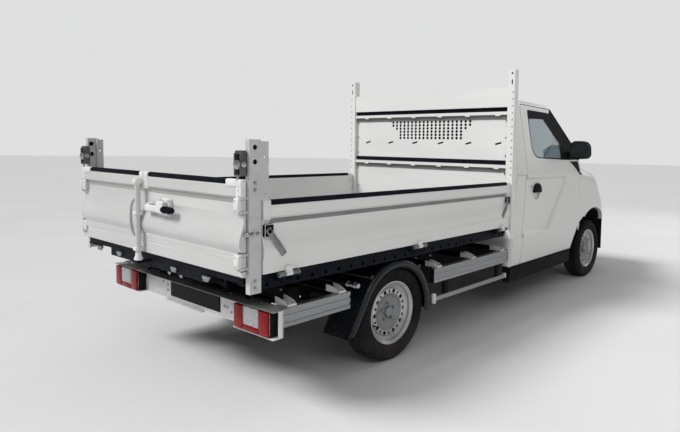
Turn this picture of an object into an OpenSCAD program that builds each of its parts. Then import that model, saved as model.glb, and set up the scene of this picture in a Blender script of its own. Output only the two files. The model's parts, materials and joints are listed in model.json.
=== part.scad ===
/* [Chassis] */
// Distance between the axles
wheelbase = 3285; // [3200:5:3400]
// Distance between the tyre centre planes of one axle
track = 1490; // [1470:2:1500]
// Outer height of the chassis rails
rail_h = 120; // [100:2:130]
// Height of the chassis rails' top face above the road
rail_top = 550; // [545:1:556]
// Half the distance between the chassis rails' outer faces
rail_out = 400; // [390:1:405]

/* [Wheels] */
// Outer diameter of the tyres
tyre_d = 622; // [610:1:630]
// Section width of the tyres
tyre_w = 188; // [175:1:195]
// Bead seat diameter of the rims
rim_d = 381; // [370:1:390]
// Width between the rim flanges
rim_w = 140; // [130:1:146]
// Radius of the hub spigots that carry the rims
spigot_r = 29; // [26:0.5:32]

/* [Cab] */
// Width of the cab over the doors
cab_w = 1772; // [1760:2:1784]
// Thickness of the cab walls and doors
wall = 60; // [50:1:64]
// Thickness of the front panels
skin = 40; // [34:1:46]
// Clear gap around the doors
door_gap = 8; // [7:0.5:10]
// Gap along the fixed panels
panel_gap = 4; // [3:0.5:5]
// How far the mirrors stand out from the cab's side
mirror_out = 199; // [175:1:215]

/* [Tipper body] */
// Width of the body over the dropsides
body_w = 1840; // [1820:2:1850]
// Height of the load floor above the road
floor_z = 745; // [740:1:750]
// Height of the dropsides
side_h = 352; // [330:1:370]
// Height of the tailgate leaves
gate_h = 452; // [430:1:470]
// Thickness of the dropside and tailgate profiles
side_t = 24; // [20:0.5:26]
// Top of the headboard posts above the road
post_top = 2030; // [1980:5:2060]
// Radius of the lashing holes in the rear posts
lash_r = 12.5; // [10:0.5:14]

/* [Rear] */
// Width of the lamp beam
beam_w = 1780; // [1740:2:1800]
// Height of the lamp beam
beam_h = 145; // [130:1:155]

/* [Hidden] */
$fn = 48;
eps = 0.3;

// Places along the vehicle, measured from the rear axle, with +x forwards
nose = 790;
gate_hinge_x = -1185;
gate_lever_reach = 45;
rear_end = gate_hinge_x - gate_lever_reach;
mid_x = (wheelbase + nose + rear_end) / 2;
cab_rear = -1835;
// Clear space between the cab and the tipping body
cab_gap = 50;
body_front = wheelbase + cab_rear - cab_gap;

// Outlines. A corner is [x, y, r], with r its fillet radius, listed counterclockwise
function unit(v) = v / norm(v);
function xy(p) = [p[0], p[1]];
function arc_corner(a, b, c, r, n) =
    let (u = unit(a - b), v = unit(c - b),
         half = acos(max(-1, min(1, u * v))) / 2,
         centre = b + unit(u + v) * r / sin(half),
         s = b + u * r / tan(half) - centre,
         e = b + v * r / tan(half) - centre,
         a0 = atan2(s[1], s[0]),
         turn = atan2(s[0] * e[1] - s[1] * e[0], s * e))
    [for (k = [0 : n]) centre + r * [cos(a0 + turn * k / n), sin(a0 + turn * k / n)]];
function fillet(p, n = 5) =
    [for (i = [0 : len(p) - 1])
        let (a = xy(p[(i + len(p) - 1) % len(p)]), b = xy(p[i]), c = xy(p[(i + 1) % len(p)]))
        each (p[i][2] <= 0 ? [b] : arc_corner(a, b, c, p[i][2], n))];
// Moves every edge inwards by d; a convex corner's radius shrinks and a hollow one's grows
function inset(p, d) =
    [for (i = [0 : len(p) - 1])
        let (a = xy(p[(i + len(p) - 1) % len(p)]), b = xy(p[i]), c = xy(p[(i + 1) % len(p)]),
             e = unit(b - a), f = unit(c - b),
             m = [-e[1], e[0]], n = [-f[1], f[0]],
             convex = e[0] * f[1] - e[1] * f[0] > 0,
             q = b + d * (m + n) / (1 + m * n))
        [q[0], q[1], p[i][2] <= 0 ? 0 : max(1, convex ? p[i][2] - d : p[i][2] + d)]];

// Prisms of an outline along each axis, from one place to another
module prism_y(p, y0, y1, n = 5)
    translate([0, y1, 0]) rotate([90, 0, 0]) linear_extrude(y1 - y0) polygon(fillet(p, n));
module prism_x(p, x0, x1, n = 5)
    translate([x0, 0, 0]) rotate([90, 0, 90]) linear_extrude(x1 - x0) polygon(fillet(p, n));
module prism_z(p, z0, z1, n = 5)
    translate([0, 0, z0]) linear_extrude(z1 - z0) polygon(fillet(p, n));
module box(a, b) translate(a) cube(b - a);
module rod_x(x0, x1, y, z, r) translate([x0, y, z]) rotate([0, 90, 0]) cylinder(r = r, h = x1 - x0);
module rod_y(y0, y1, x, z, r) translate([x, y1, z]) rotate([90, 0, 0]) cylinder(r = r, h = y1 - y0);
module rod_z(z0, z1, x, y, r) translate([x, y, z0]) cylinder(r = r, h = z1 - z0);
module both_sides() for (s = [0, 1]) mirror([0, s, 0]) children();
module placed() translate([-mid_x, 0, 0]) children();
// The cab is drawn from the front axle, and the rest from the rear axle
module at_cab() translate([wheelbase - mid_x, 0, 0]) children();

// Cab shape, from the front axle
cab_half = cab_w / 2;
door_front = -435;
door_rear = -1583;
door_low = 385;
sill_low = 252;
belt_z = 1290;
drip_z = 1798;
drip_y = cab_half - 110;
roof_z = 1884;
cowl = [-195, 1243];
bonnet_nose = [560, 1072];
bonnet_tilt = atan2(cowl[1] - bonnet_nose[1], bonnet_nose[0] - cowl[0]);
screen_top = [-965, 1842];
screen_foot = [-150, 1232];
screen_tilt = atan2(screen_top[1] - screen_foot[1], screen_foot[0] - screen_top[0]);
screen_r = 5000;
floor_side = cab_half - wall - 26;
cab_floor_z = rail_top + 42;

cab_side_outline = [[cab_rear, door_low, 20], [screen_foot[0], door_low, 0],
                    [screen_foot[0], screen_foot[1], 0],
                    [screen_top[0], screen_top[1], 220], [-1400, roof_z, 1200], [cab_rear, 1846, 70]];
cab_front_outline = [[-cab_half + 16, door_low - 1, 20], [cab_half - 16, door_low - 1, 20],
                     [cab_half, 620, 150],
                     [cab_half, 1180, 250], [cab_half - 18, belt_z, 120], [drip_y, drip_z, 60],
                     [500, 1866, 300], [0, roof_z + 1, 2500], [-500, 1866, 300], [-drip_y, drip_z, 60],
                     [-cab_half + 18, belt_z, 120], [-cab_half, 1180, 250], [-cab_half, 620, 150]];
cab_plan_outline = [[cab_rear, -cab_half - 1, 70], [0, -cab_half - 1, 0], [0, cab_half + 1, 0],
                    [cab_rear, cab_half + 1, 70]];

module greenhouse(d = 0)
    intersection() {
        prism_y(inset(cab_side_outline, d), -cab_half - 5, cab_half + 5);
        prism_x(inset(cab_front_outline, d), cab_rear - 5, 5);
        prism_z(inset(cab_plan_outline, d), 300, 1950);
        translate([screen_top[0], 0, screen_top[1]]) rotate([0, 90 + screen_tilt, 0])
            translate([screen_r, 0, -1500]) cylinder(r = screen_r - d, h = 3000, $fn = 180);
        rear_corner_round(d);
    }
// Rounds the cab's rear corners where its sides lean in above the waist
corner_r = 80;
side_lean = atan2(cab_half - 18 - drip_y, drip_z - belt_z);
module rear_corner_round(d)
    difference() {
        box([cab_rear - 5, -1000, 300], [5, 1000, 2000]);
        both_sides()
            translate([cab_rear + d, cab_half - 18 - d / cos(side_lean), belt_z]) rotate([side_lean, 0, 0])
            translate([0, 0, -300]) linear_extrude(1000) difference() {
                translate([-200, d - corner_r]) square([200 + corner_r - d, 200 + corner_r - d]);
                translate([corner_r - d, d - corner_r]) circle(r = corner_r - d);
            }
    }
// The wall is open below, over the floor
module cab_wall(outer = 0, inner = wall)
    difference() {
        greenhouse(outer);
        greenhouse(inner);
        translate([0, 0, -wall - 40]) greenhouse(inner);
    }

front_side_outline = [[door_front + panel_gap, sill_low, 0], [nose - 60, sill_low, 50], [nose, 400, 80],
                      [nose, 480, 60],
                      [nose - 18, 730, 170], [bonnet_nose[0], bonnet_nose[1], 170],
                      [door_front + panel_gap, cowl[1] + (cowl[0] - door_front) * tan(bonnet_tilt), 0]];
front_plan_outline = [[door_front - 100, -cab_half, 0], [235, -cab_half, 350], [650, -cab_half + 150, 260],
                      [nose, -380, 420], [nose, 380, 420], [650, cab_half - 150, 260],
                      [235, cab_half, 350], [door_front - 100, cab_half, 0]];
front_section_outline = [[-cab_half - 1, -1100, 0], [cab_half + 1, -1100, 0], [cab_half + 1, -46, 140],
                         [0, 14, 3000], [-cab_half - 1, -46, 140]];
// Swept shoulders of the wings, drawn across a line that runs forwards and inwards
shoulder_turn = 20.8;
shoulder_outline = [[-cab_half - 31, 100, 0], [2500, 100, 0], [2500, 1400, 0], [-480, 1400, 0],
                    [-620, 1298, 0], [-cab_half + 164, 1225, 300], [-cab_half + 54, 1044, 500],
                    [-cab_half - 16, 800, 600], [-cab_half - 31, 600, 0]];
module shoulder(d) rotate([0, 0, shoulder_turn]) prism_x(inset(shoulder_outline, d), -2500, 2500);
module front_block(d = 0)
    intersection() {
        prism_y(inset(front_side_outline, d), -cab_half - 5, cab_half + 5);
        prism_z(inset(front_plan_outline, d), 200, 1400);
        translate([cowl[0], 0, cowl[1]]) rotate([0, bonnet_tilt, 0])
            prism_x(inset(front_section_outline, d), -700, 1500);
        shoulder(d);
        mirror([0, 1, 0]) shoulder(d);
    }
module front_wall(outer = 0, inner = skin)
    difference() {
        front_block(outer);
        for (q = [[0, 0, 0], [-50, 0, 0], [-50, 0, -50]]) translate(q) front_block(inner);
    }

// Doors
hinge_x = door_front + panel_gap / 2 + 1;
hinge_y = cab_half - 4;
hinge_pin_r = 6;
hinge_heights = [620, 1010];
hinge_len = 60;
door_outline = [[door_rear - 77, door_low + 1, 25], [-595, door_low + 1, 40], [door_front, 640, 60],
                [door_front, 1165, 30], [-505, 1372, 60], [-1000, 1768, 70],
                [door_rear + 7, 1782, 40], [door_rear, 960, 200]];
window_outline = [[-1462, 1314, 120], [-650, 1288, 30], [-632, 1412, 50], [-1032, 1735, 50],
                  [-1455, 1742, 25]];
pane_outline = [[-1452, 1322, 118], [-852, 1306, 20], [-846, 1452, 40], [-1140, 1672, 40],
                [-1440, 1664, 15]];
press_outline = [[-1760, 650, 30], [-1140, 634, 60], [-722, 1132, 40], [-1760, 1146, 30]];
press_depth = 8;
door_inner_y = 705;
handle_x = -1370;
handle_z = 1012;
handle_r = 74;

module door_zone(grow) prism_y(inset(door_outline, -grow), door_inner_y, 1000);
module press_cut()
    difference() {
        prism_y(press_outline, 700, 1000);
        intersection() {
            prism_y(press_outline, 700, 1000);
            greenhouse(press_depth);
        }
    }
module door_knuckles(r, spare = 0)
    for (z = hinge_heights)
        rod_z(z - hinge_len / 2 - spare, z + hinge_len / 2 + spare, hinge_x, hinge_y, r);
module door_half()
    difference() {
        union() {
            intersection() {
                difference() {
                    cab_wall();
                    press_cut();
                }
                door_zone(0);
            }
            door_knuckles(2 * hinge_pin_r);
        }
        prism_y(window_outline, 600, 1000);
        translate([handle_x, 0, handle_z]) rotate([90, 0, 0])
            translate([0, 0, -1000]) cylinder(r = handle_r, h = 1000 - cab_half + 26);
        for (z = hinge_heights) rod_z(z - hinge_len, z + hinge_len, hinge_x, hinge_y, hinge_pin_r + eps);
    }
module door_glass_half()
    intersection() {
        cab_wall(5, 10);
        prism_y(inset(pane_outline, eps), 600, 1000);
    }
mirror_x = -735;
mirror_low = 1300;
mirror_top = 1478;
mirror_deep = 84;
mirror_reach = cab_half + mirror_out;
mirror_near = cab_half + 9;
mirror_head = [[mirror_near, mirror_low, 40], [mirror_reach, mirror_low + 6, 50],
               [mirror_reach - 12, mirror_top, 70], [mirror_near + 12, mirror_top, 50]];
mirror_arm = [[cab_half - 56, mirror_low - 4, 8], [mirror_near + 20, mirror_low + 12, 8],
              [mirror_near + 20, mirror_low + 72, 8], [cab_half - 56, mirror_low + 72, 8]];
module mirror_half() {
    // Black window surround, set in the door's opening
    difference() {
        intersection() {
            cab_wall(1, 14);
            prism_y(inset(window_outline, eps), 600, 1000);
        }
        prism_y(pane_outline, 500, 1100);
    }
    // Mirror head on its arm
    prism_x(mirror_head, mirror_x - 6, mirror_x + mirror_deep);
    prism_x(mirror_arm, mirror_x + 8, mirror_x + 62);
    // Handle cap over the upper half of its cup
    translate([handle_x, cab_half - 22, handle_z]) rotate([-90, 0, 0])
        intersection() {
            cylinder(r = handle_r - eps, h = 20);
            translate([-200, -200, -1]) cube([400, 210, 40]);
        }
}

// Fixed cab panels
screen_outline = [[-790, 1262, 60], [790, 1262, 60], [690, 1790, 60], [-690, 1790, 60]];
rear_pane_outline = [[-470, 1330, 60], [470, 1330, 60], [430, 1690, 60], [-430, 1690, 60]];
module screen_zone(d = 0) prism_x(inset(screen_outline, d), -1100, 100);
module rear_pane_zone(d = 0) prism_x(inset(rear_pane_outline, d), cab_rear - 50, cab_rear + 200);
module rear_zone() box([cab_rear - 10, -800, 300], [cab_rear + wall, 800, 1790]);
module roof_zone() box([cab_rear - 10, -drip_y - 20, 1790], [0, drip_y + 20, 2000]);
module over_bonnet(h)
    translate([cowl[0], 0, cowl[1]]) rotate([0, bonnet_tilt, 0]) box([-900, -1000, h], [900, 1000, 900]);

module cab_rear_wall()
    color("white") difference() {
        intersection() {
            cab_wall();
            rear_zone();
        }
        rear_pane_zone();
        box([cab_rear - 10, -900, 300], [cab_rear + wall + 10, 900, rail_top + eps]);
    }
module cab_roof()
    color("white") difference() {
        intersection() {
            cab_wall();
            roof_zone();
        }
        screen_zone();
    }
module cab_sides()
    color("white") difference() {
        cab_wall();
        rear_zone();
        roof_zone();
        screen_zone();
        box([cab_rear + wall, -door_inner_y, 300], [screen_foot[0] - 560, door_inner_y, 1795]);
        box([door_front - 60, -1000, 300], [100, 1000, 1180]);
        difference() {
            box([-900, -1000, 900], [100, 1000, 1500]);
            over_bonnet(16);
            box([-1000, -1000, 800], [door_front + 1, 1000, 1500]);
        }
        both_sides() door_zone(door_gap);
        both_sides() press_cut();
        box([-700, -1000, 300], [100, 1000, 700]);
    }
module cab_floor()
    color("dimgray") {
        // Floor pan over the chassis rails
        box([cab_rear + wall, -floor_side, rail_top + eps], [door_front - 20, floor_side, cab_floor_z]);
        // Bulkhead below the windscreen
        box([door_front - 20, -floor_side, rail_top + eps], [door_front + 20, floor_side, 1040]);
        box([door_front - 20, -680, 1039], [door_front + 20, 680, 1200]);
        // Skirts that carry the sills
        both_sides() box([cab_rear + wall, floor_side - 14, 330], [-600, floor_side, cab_floor_z]);
    }
module cab_glass()
    color([0.2, 0.24, 0.26, 0.6]) {
        intersection() {
            cab_wall(6, 12);
            screen_zone(eps);
        }
        intersection() {
            cab_wall(6, 12);
            rear_pane_zone(eps);
        }
    }

// Front panels, split where the real ones meet
arch_r = 445;
arch_top = 771;
lamp_low = 905;
bumper_top = 770;
module arch_cut(r)
    union() {
        rod_y(-1000, 1000, -12, arch_top - arch_r, r);
        prism_y([[-597 - r + arch_r, 200, 0], [300, 200, 0], [300, 500, 0], [-300, 700, 0],
                 [-425 - r + arch_r, 640, 0]], -1000, 1000);
        box([-300, -1000, 100], [-12 + r, 1000, arch_top - arch_r]);
    }
module bonnet_zone(d)
    prism_z(inset([[cowl[0] + 6, -770, 40], [470, -720, 120], [700, -430, 200], [700, 430, 200],
        [470, 720, 120],
                   [cowl[0] + 6, 770, 40]], d), 1012, 1500);
module lamp_zone(d)
    intersection() {
        prism_y(inset([[438, lamp_low, 20], [900, lamp_low - 40, 0], [900, 1014, 0], [560, 1040, 0],
                       [315, 1160, 20]], d), -1000, 1000);
        union() {
            box([0, 500 + d, 800], [900, 1000, 1300]);
            box([0, -1000, 800], [900, -500 - d, 1300]);
        }
    }
module bonnet()
    color("white") intersection() {
        front_wall();
        bonnet_zone(0);
    }
module front_wings()
    color("white") {
        difference() {
            front_wall();
            bonnet_zone(-panel_gap);
            lamp_zone(-panel_gap);
            arch_cut(arch_r);
            box([-1000, -1000, 0], [340, 1000, 300]);
            box([330, -1000, 0], [1000, 1000, bumper_top + panel_gap]);
            box([450, -1000, 0], [1000, 1000, 1500]);
            box([200, -600, 0], [1000, 600, 1500]);
            box([door_front - 10, -700, 0], [300, 700, 1120]);
            door_knuckle_notches();
        }
        both_sides() for (z = hinge_heights)
            rod_z(z - hinge_len / 2 - 25, z + hinge_len / 2 + 25, hinge_x, hinge_y, hinge_pin_r);
    }
module door_knuckle_notches() both_sides() door_knuckles(2 * hinge_pin_r + 2, 1);
module front_bumper()
    color("white") difference() {
        intersection() {
            front_wall();
            box([330, -1000, 0], [1000, 1000, bumper_top]);
        }
        arch_cut(arch_r);
        // Lower air intake
        prism_x([[-420, 330, 30], [420, 330, 30], [480, 470, 40], [-480, 470, 40]], 500, 1000);
    }
slat_count = 5;
module front_grille()
    color("black") {
        intersection() {
            front_wall(6, skin);
            box([400, -500 + panel_gap, bumper_top + panel_gap], [1000, 500 - panel_gap, 1012 - panel_gap]);
        }
        intersection() {
            front_block(14);
            union() {
                for (k = [0 : slat_count - 1])
                    box([500, -478, 338 + k * 28], [1000, 478, 350 + k * 28]);
                box([nose - 80, -478, 336], [nose - 60, 478, 466]);
            }
            prism_x(inset([[-420, 330, 30], [420, 330, 30], [480, 470, 40],
                [-480, 470, 40]], 1), 600, 1000);
            box([nose - 80, -500, 300], [1000, 500, 500]);
        }
    }
// Carrier behind the front panels
module front_carrier()
    color("black") {
        intersection() {
            front_wall(skin + eps, skin + 16);
            box([arch_r + 12, -1000, 480], [1000, 1000, 1400]);
        }
        // Crash boxes on the rails' front ends
        both_sides() box([rail_lead + eps, rail_in, 484], [nose - skin - 24, rail_out, 540]);
    }
module headlamps()
    color("gainsboro") difference() {
        intersection() {
            front_wall(2, skin);
            lamp_zone(0);
        }
        bonnet_zone(-panel_gap);
    }

// Cab inside
// Each seat: middle, width
seat_list = [[430, 520], [-330, 820]];
seat_x = cab_rear + 405;
seat_cushion = [[-30, eps, 10], [440, eps, 10], [520, 150, 50], [500, 260, 50], [-10, 220, 50]];
seat_back = [[-20, 200, 40], [120, 216, 40], [0, 800, 60], [-130, 800, 60]];
headrest = [[-110, 828, 30], [-20, 828, 30], [-50, 990, 40], [-140, 990, 40]];
headrest_half = 130;
stalk = [[-80, -60, 780], [-60, 60, 840]];
module seats()
    color("dimgray") for (q = seat_list) translate([seat_x, q[0], cab_floor_z]) {
        prism_y(seat_cushion, -q[1] / 2, q[1] / 2);
        prism_y(seat_back, -q[1] / 2 + 10, q[1] / 2 - 10);
        prism_y(headrest, -headrest_half, headrest_half);
        box(stalk[0], stalk[1]);
    }
dash_outline = [[door_front - 20, 760, 0], [door_front - 20, 1225, 0], [-560, 1240, 30], [-760, 1165, 60],
                [-720, 930, 60], [-560, 780, 60]];
// Steering wheel on the left: its middle, tilt, rim radius and column
steer_at = [-900, 430, 1120];
steer_tilt = 28;
steer_r = 175;
steer_rim_r = 15;
column_len = 190;
module dashboard()
    color("dimgray") {
        prism_y(dash_outline, -floor_side, floor_side);
        translate(steer_at) rotate([0, steer_tilt, 0]) {
            rotate([0, 90, 0]) cylinder(r = 36, h = column_len);
            rotate([0, 90, 0]) translate([0, 0, -12]) cylinder(r = 62, h = 26);
            rotate([0, 90, 0]) rotate_extrude() translate([steer_r, 0]) circle(r = steer_rim_r, $fn = 8);
            for (a = [90, 270]) rotate([a, 0, 0]) box([-6, -18, 40], [8, 18, steer_r - 5]);
        }
    }
liner_t = 6;
liner_in = 470;
module sills_and_liners()
    color("black") {
        // Sills under the doors
        both_sides() prism_x([[floor_side + eps, sill_low, 10], [cab_half - 20, sill_low, 20],
                              [cab_half - 14, door_low - 7, 4], [floor_side + eps, door_low - 7, 4]],
                             cab_rear + 5, -600);
        // Front arch liners
        both_sides() difference() {
            intersection() {
                rod_y(liner_in, cab_half, 0, tyre_d / 2, arch_r - 2 + liner_t);
                box([-390, 0, 330], [500, 1000, 900]);
                front_block(skin + eps);
            }
            rod_y(liner_in - 1, 1000, 0, tyre_d / 2, arch_r - 2);
        }
    }
battery_low = 262;
battery_x = [700, wheelbase - 900];
drive_unit = [[-120, -240, 430], [280, 240, 800]];
module battery_and_motor()
    color("dimgray") {
        // Battery under the cab and body, drive unit over the front axle
        translate([-wheelbase, 0, 0])
            box([battery_x[0], -rail_out + 10, battery_low], [battery_x[1], rail_out - 10, rail_low - eps]);
        box(drive_unit[0], drive_unit[1]);
    }

// Wheels, each drawn around its own axis with +z pointing outboard
tyre_r = tyre_d / 2;
rim_r = rim_d / 2;
bore_r = spigot_r + eps;
face_y = 19;
disc_t = 7;
hub_y = track / 2 + face_y - eps;
vent_pitch_r = 139;
vent_count = 10;
rim_outline = [[rim_r + 16, rim_w / 2 + 6, 2], [rim_r + 10, rim_w / 2 + 6, 2],
               [rim_r - 6, rim_w / 2 - 6, 0],
               [rim_r - 6, 46, 0], [rim_r - 30, 34, 0], [vent_pitch_r + 14, 44, 8],
               [vent_pitch_r - 12, 44, 10],
               [100, face_y + disc_t, 8], [bore_r, face_y + disc_t, 0], [bore_r, face_y, 0],
               [103, face_y, 8], [vent_pitch_r - 10, 44 - disc_t, 10], [vent_pitch_r + 12, 44 - disc_t, 8],
               [rim_r - 30, 26, 0], [rim_r - 30, -28, 0], [rim_r - 6, -42, 0],
               [rim_r - 6, -rim_w / 2 + 6, 0],
               [rim_r + 10, -rim_w / 2 - 6, 2], [rim_r + 16, -rim_w / 2 - 6, 2],
               [rim_r + 16, -rim_w / 2, 2],
               [rim_r, -rim_w / 2 + 2, 0], [rim_r, -40, 0], [rim_r - 22, -26, 0], [rim_r - 22, 26, 0],
               [rim_r, 40, 0], [rim_r, rim_w / 2 - 2, 0], [rim_r + 16, rim_w / 2, 2]];
tyre_half = [[rim_r + eps, rim_w / 2 - 5, 2], [rim_r + 17, rim_w / 2 - 4, 2],
             [rim_r + 21, rim_w / 2 + 10, 3],
             [rim_r + 52, tyre_w / 2, 28], [tyre_r - 44, tyre_w / 2 - 1, 30],
             [tyre_r - 10, tyre_w / 2 - 14, 16],
             [tyre_r, tyre_w / 2 - 34, 20]];
function lower_half(p) = [for (i = [len(p) - 1 : -1 : 0]) [p[i][0], -p[i][1], p[i][2]]];
module rim_solid()
    difference() {
        rotate_extrude($fn = 64) polygon(fillet(rim_outline, 3));
        for (k = [0 : 2 * vent_count - 1]) rotate(k * 180 / vent_count)
            translate([vent_pitch_r, 0, 0]) cylinder(r = k % 2 == 0 ? 11 : 7, h = 80, $fn = 16);
    }
module tyre_solid()
    rotate_extrude($fn = 64) polygon(fillet(concat(lower_half(tyre_half), tyre_half), 3));
module wheel_at(x, side)
    color("silver") placed() translate([x, side * track / 2, tyre_r]) rotate([-90 * side, 0, 0]) children();
module rim_front_left() wheel_at(wheelbase, 1) rim_solid();
module rim_front_right() wheel_at(wheelbase, -1) rim_solid();
module rim_rear_left() wheel_at(0, 1) rim_solid();
module rim_rear_right() wheel_at(0, -1) rim_solid();
module tyre_front_left() color("black") wheel_at(wheelbase, 1) tyre_solid();
module tyre_front_right() color("black") wheel_at(wheelbase, -1) tyre_solid();
module tyre_rear_left() color("black") wheel_at(0, 1) tyre_solid();
module tyre_rear_right() color("black") wheel_at(0, -1) tyre_solid();

// Chassis, from the rear axle
rail_in = rail_out - 60;
rail_low = rail_top - rail_h;
rail_rear = -900;
rail_lead = 560;
rail_front = wheelbase + rail_lead;
rail_t = 6;
cross_places = [rail_rear + 80, 330, 620, for (k = [0.38, 0.58, 0.76]) k * wheelbase, rail_front - 60];
// The lifting ram: its foot on the chassis and its eye on the body
tip_pivot = [-930, 598];
tip_shaft_r = 18;
ram_foot = [-330, 330];
ram_eye = [-230, 660];
ram_dir = unit(ram_eye - ram_foot);
ram_len = norm(ram_eye - ram_foot);
ram_pin_r = 20;
module chassis_frame()
    color("black") placed() difference() {
        union() {
            both_sides() {
                difference() {
                    box([rail_rear, rail_in, rail_low], [rail_front, rail_out, rail_top]);
                    box([rail_rear - 1, rail_in - 1, rail_low + rail_t],
                        [rail_front + 1, rail_out - rail_t, rail_top - rail_t]);
                }
                // Hangers for the ram's foot
                box([ram_foot[0] - 36, rail_in, ram_foot[1] - 36],
                    [ram_foot[0] + 36, rail_in + 14, rail_low + 4]);
            }
            for (x = cross_places)
                box([x - 40, -rail_out + rail_t, rail_low + 20],
                    [x + 40, rail_out - rail_t, rail_top - 20]);
            rod_y(-rail_in - 2, rail_in + 2, ram_foot[0], ram_foot[1], ram_pin_r);
        }
    }

sub_out = rail_out - 5;
sub_in = sub_out - 50;
sub_h = 80;
sub_top = rail_top + sub_h;
sub_front = body_front - 75;
sub_cross = [-700, 250, sub_front - 45];
module tipper_subframe()
    color("black") placed() {
        both_sides() {
            box([tip_pivot[0], sub_in, rail_top], [sub_front, sub_out, sub_top]);
            rod_y(sub_in, sub_out, tip_pivot[0], tip_pivot[1], sub_top - tip_pivot[1] - 6);
        }
        for (x = sub_cross) box([x - 30, -sub_in - 1, rail_top + 10], [x + 30, sub_in + 1, sub_top - 20]);
        rod_y(-sub_out - 34, sub_out + 34, tip_pivot[0], tip_pivot[1], tip_shaft_r);
    }

spring_y = 450;
spring_outline = [[-520, 440, 0], [-500, 420, 0], [-200, 356, 200], [200, 350, 200], [540, 416, 0],
                  [560, 436, 0],
                  [200, 386, 200], [-200, 392, 200]];
module rear_axle()
    color("black") placed() {
        rod_y(-hub_y + 60, hub_y - 60, 0, tyre_r, 42);
        both_sides() {
            rod_y(hub_y - 92, hub_y, 0, tyre_r, 122);
            rod_y(hub_y - 1, hub_y + 30, 0, tyre_r, spigot_r);
            // Leaf spring with its hangers on the rail
            prism_y(spring_outline, spring_y - 30, spring_y + 30);
            box([-90, spring_y - 36, 330], [90, spring_y + 36, 398]);
            for (x = [-520, 530]) box([x - 26, rail_out, 424], [x + 26, spring_y + 34, 520]);
        }
    }

// Front suspension: two arms a side, a spring leg, and the knuckle between them
kingpin_y = track / 2 - 55;
knuckle_low = tyre_r - 108;
knuckle_high = tyre_r + 108;
pin_r = 11;
arm_t = 26;
module front_subframe()
    color("black") placed() translate([wheelbase, 0, 0]) both_sides() {
        for (z = [knuckle_low - eps - arm_t, knuckle_high + eps]) difference() {
            union() {
                box([-44, z < rail_low - arm_t ? rail_in - 60 : rail_out, z],
                    [44, kingpin_y - 30, z + arm_t]);
                rod_z(z, z + arm_t, 0, kingpin_y - 30, 44);
                rod_z(z, z + arm_t, 0, kingpin_y, 26);
            }
            rod_z(z - 1, z + arm_t + 1, 0, kingpin_y, pin_r + eps);
        }
        // Cross beam under the rails, and the spring leg up to its seat on the rail
        box([-70, -1, knuckle_low - arm_t - eps], [70, rail_in + 40, rail_low]);
        rod_z(knuckle_low - 2, 650, 0, 540, 36);
        box([-60, rail_out, 646], [60, 590, 666]);
        box([-60, rail_out, rail_low + 10], [60, rail_out + 14, 666]);
    }
module knuckle_half()
    union() {
        box([-34, kingpin_y - 26, knuckle_low], [34, kingpin_y + 26, knuckle_high]);
        rod_z(knuckle_low - arm_t + 2, knuckle_high + arm_t - 2, 0, kingpin_y, pin_r);
        rod_y(kingpin_y + 20, hub_y, 0, tyre_r, 60);
        rod_y(hub_y - 40, hub_y, 0, tyre_r, 122);
        rod_y(hub_y - 1, hub_y + 30, 0, tyre_r, spigot_r);
    }
module knuckle_left() color("dimgray") at_cab() knuckle_half();
module knuckle_right() color("dimgray") at_cab() mirror([0, 1, 0]) knuckle_half();

// Guards, side rails and the lamp beam
guard_in = tyre_r + 30;
guard_t = 7;
guard_y = [640, 862];
flap_foot = [-440, 247];
guard_end = 146;
module mudguards()
    color("black") placed() both_sides() {
        difference() {
            rod_y(guard_y[0], guard_y[1], 0, tyre_r, guard_in + guard_t);
            rod_y(guard_y[0] - 1, guard_y[1] + 1, 0, tyre_r, guard_in);
            box([-600, 0, -100], [600, 1000, tyre_r - 36]);
            box([-600, 0, 0], [0, 1000, tyre_r + (guard_in + guard_t) * sin(guard_end)]);
        }
        prism_y([[guard_in * cos(guard_end), tyre_r + guard_in * sin(guard_end), 0],
                 [(guard_in + guard_t) * cos(guard_end),
                     tyre_r + (guard_in + guard_t) * sin(guard_end) + 3, 0],
                 [flap_foot[0], flap_foot[1], 0],
                 [flap_foot[0] + 8, flap_foot[1], 0]], guard_y[0], guard_y[1]);
        for (a = [50, 130]) rod_y(sub_out, guard_y[1] - 10, (guard_in + guard_t + 12) * cos(a),
                                  tyre_r + (guard_in + guard_t + 12) * sin(a), 14);
    }
side_rail_y = [beam_w / 2 - 44, beam_w / 2 - 6];
side_rail_h = 100;
rear_rail = [rail_rear + eps, -452];
front_rail = [362, body_front - 15];
low_bar = [front_rail[0] + 21, front_rail[1] - 19];
low_bar_z = [318, 350];
module side_rails()
    color("silver") placed() both_sides() {
        for (x = [rear_rail, front_rail]) difference() {
            box([x[0], side_rail_y[0], rail_top - side_rail_h], [x[1], side_rail_y[1], rail_top]);
            // Two long grooves in the outer face
            for (z = [0.3, 0.7]) box([x[0] - 1, side_rail_y[1] - 4, rail_top - side_rail_h * z - 8],
                                     [x[1] + 1, side_rail_y[1] + 1, rail_top - side_rail_h * z + 8]);
            box([x[0] - 1, side_rail_y[0] + 5, rail_top - side_rail_h + 6],
                [x[1] + 1, side_rail_y[1] - 9, rail_top - 6]);
        }
        box([low_bar[0], side_rail_y[0] + 6, low_bar_z[0]], [low_bar[1], side_rail_y[1] - 4, low_bar_z[1]]);
    }
arm_places = [rear_rail[0] + 30, rear_rail[1] - 58, front_rail[0] + 68,
              (front_rail[0] + front_rail[1]) / 2, front_rail[1] - 75];
drop_places = [low_bar[0] + 137, low_bar[1] - 116];
module rail_brackets()
    color("white") placed() both_sides() {
        for (x = arm_places) {
            box([x - 28, sub_out, rail_top], [x + 28, side_rail_y[1] - 4, rail_top + 14]);
            box([x - 3, sub_out, rail_top + 13], [x + 3, side_rail_y[1] - 60, rail_top + 60]);
        }
        for (x = drop_places)
            box([x - 22, side_rail_y[0] + 8, low_bar_z[1]],
                [x + 22, side_rail_y[0] + 24, rail_top - side_rail_h]);
    }
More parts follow.
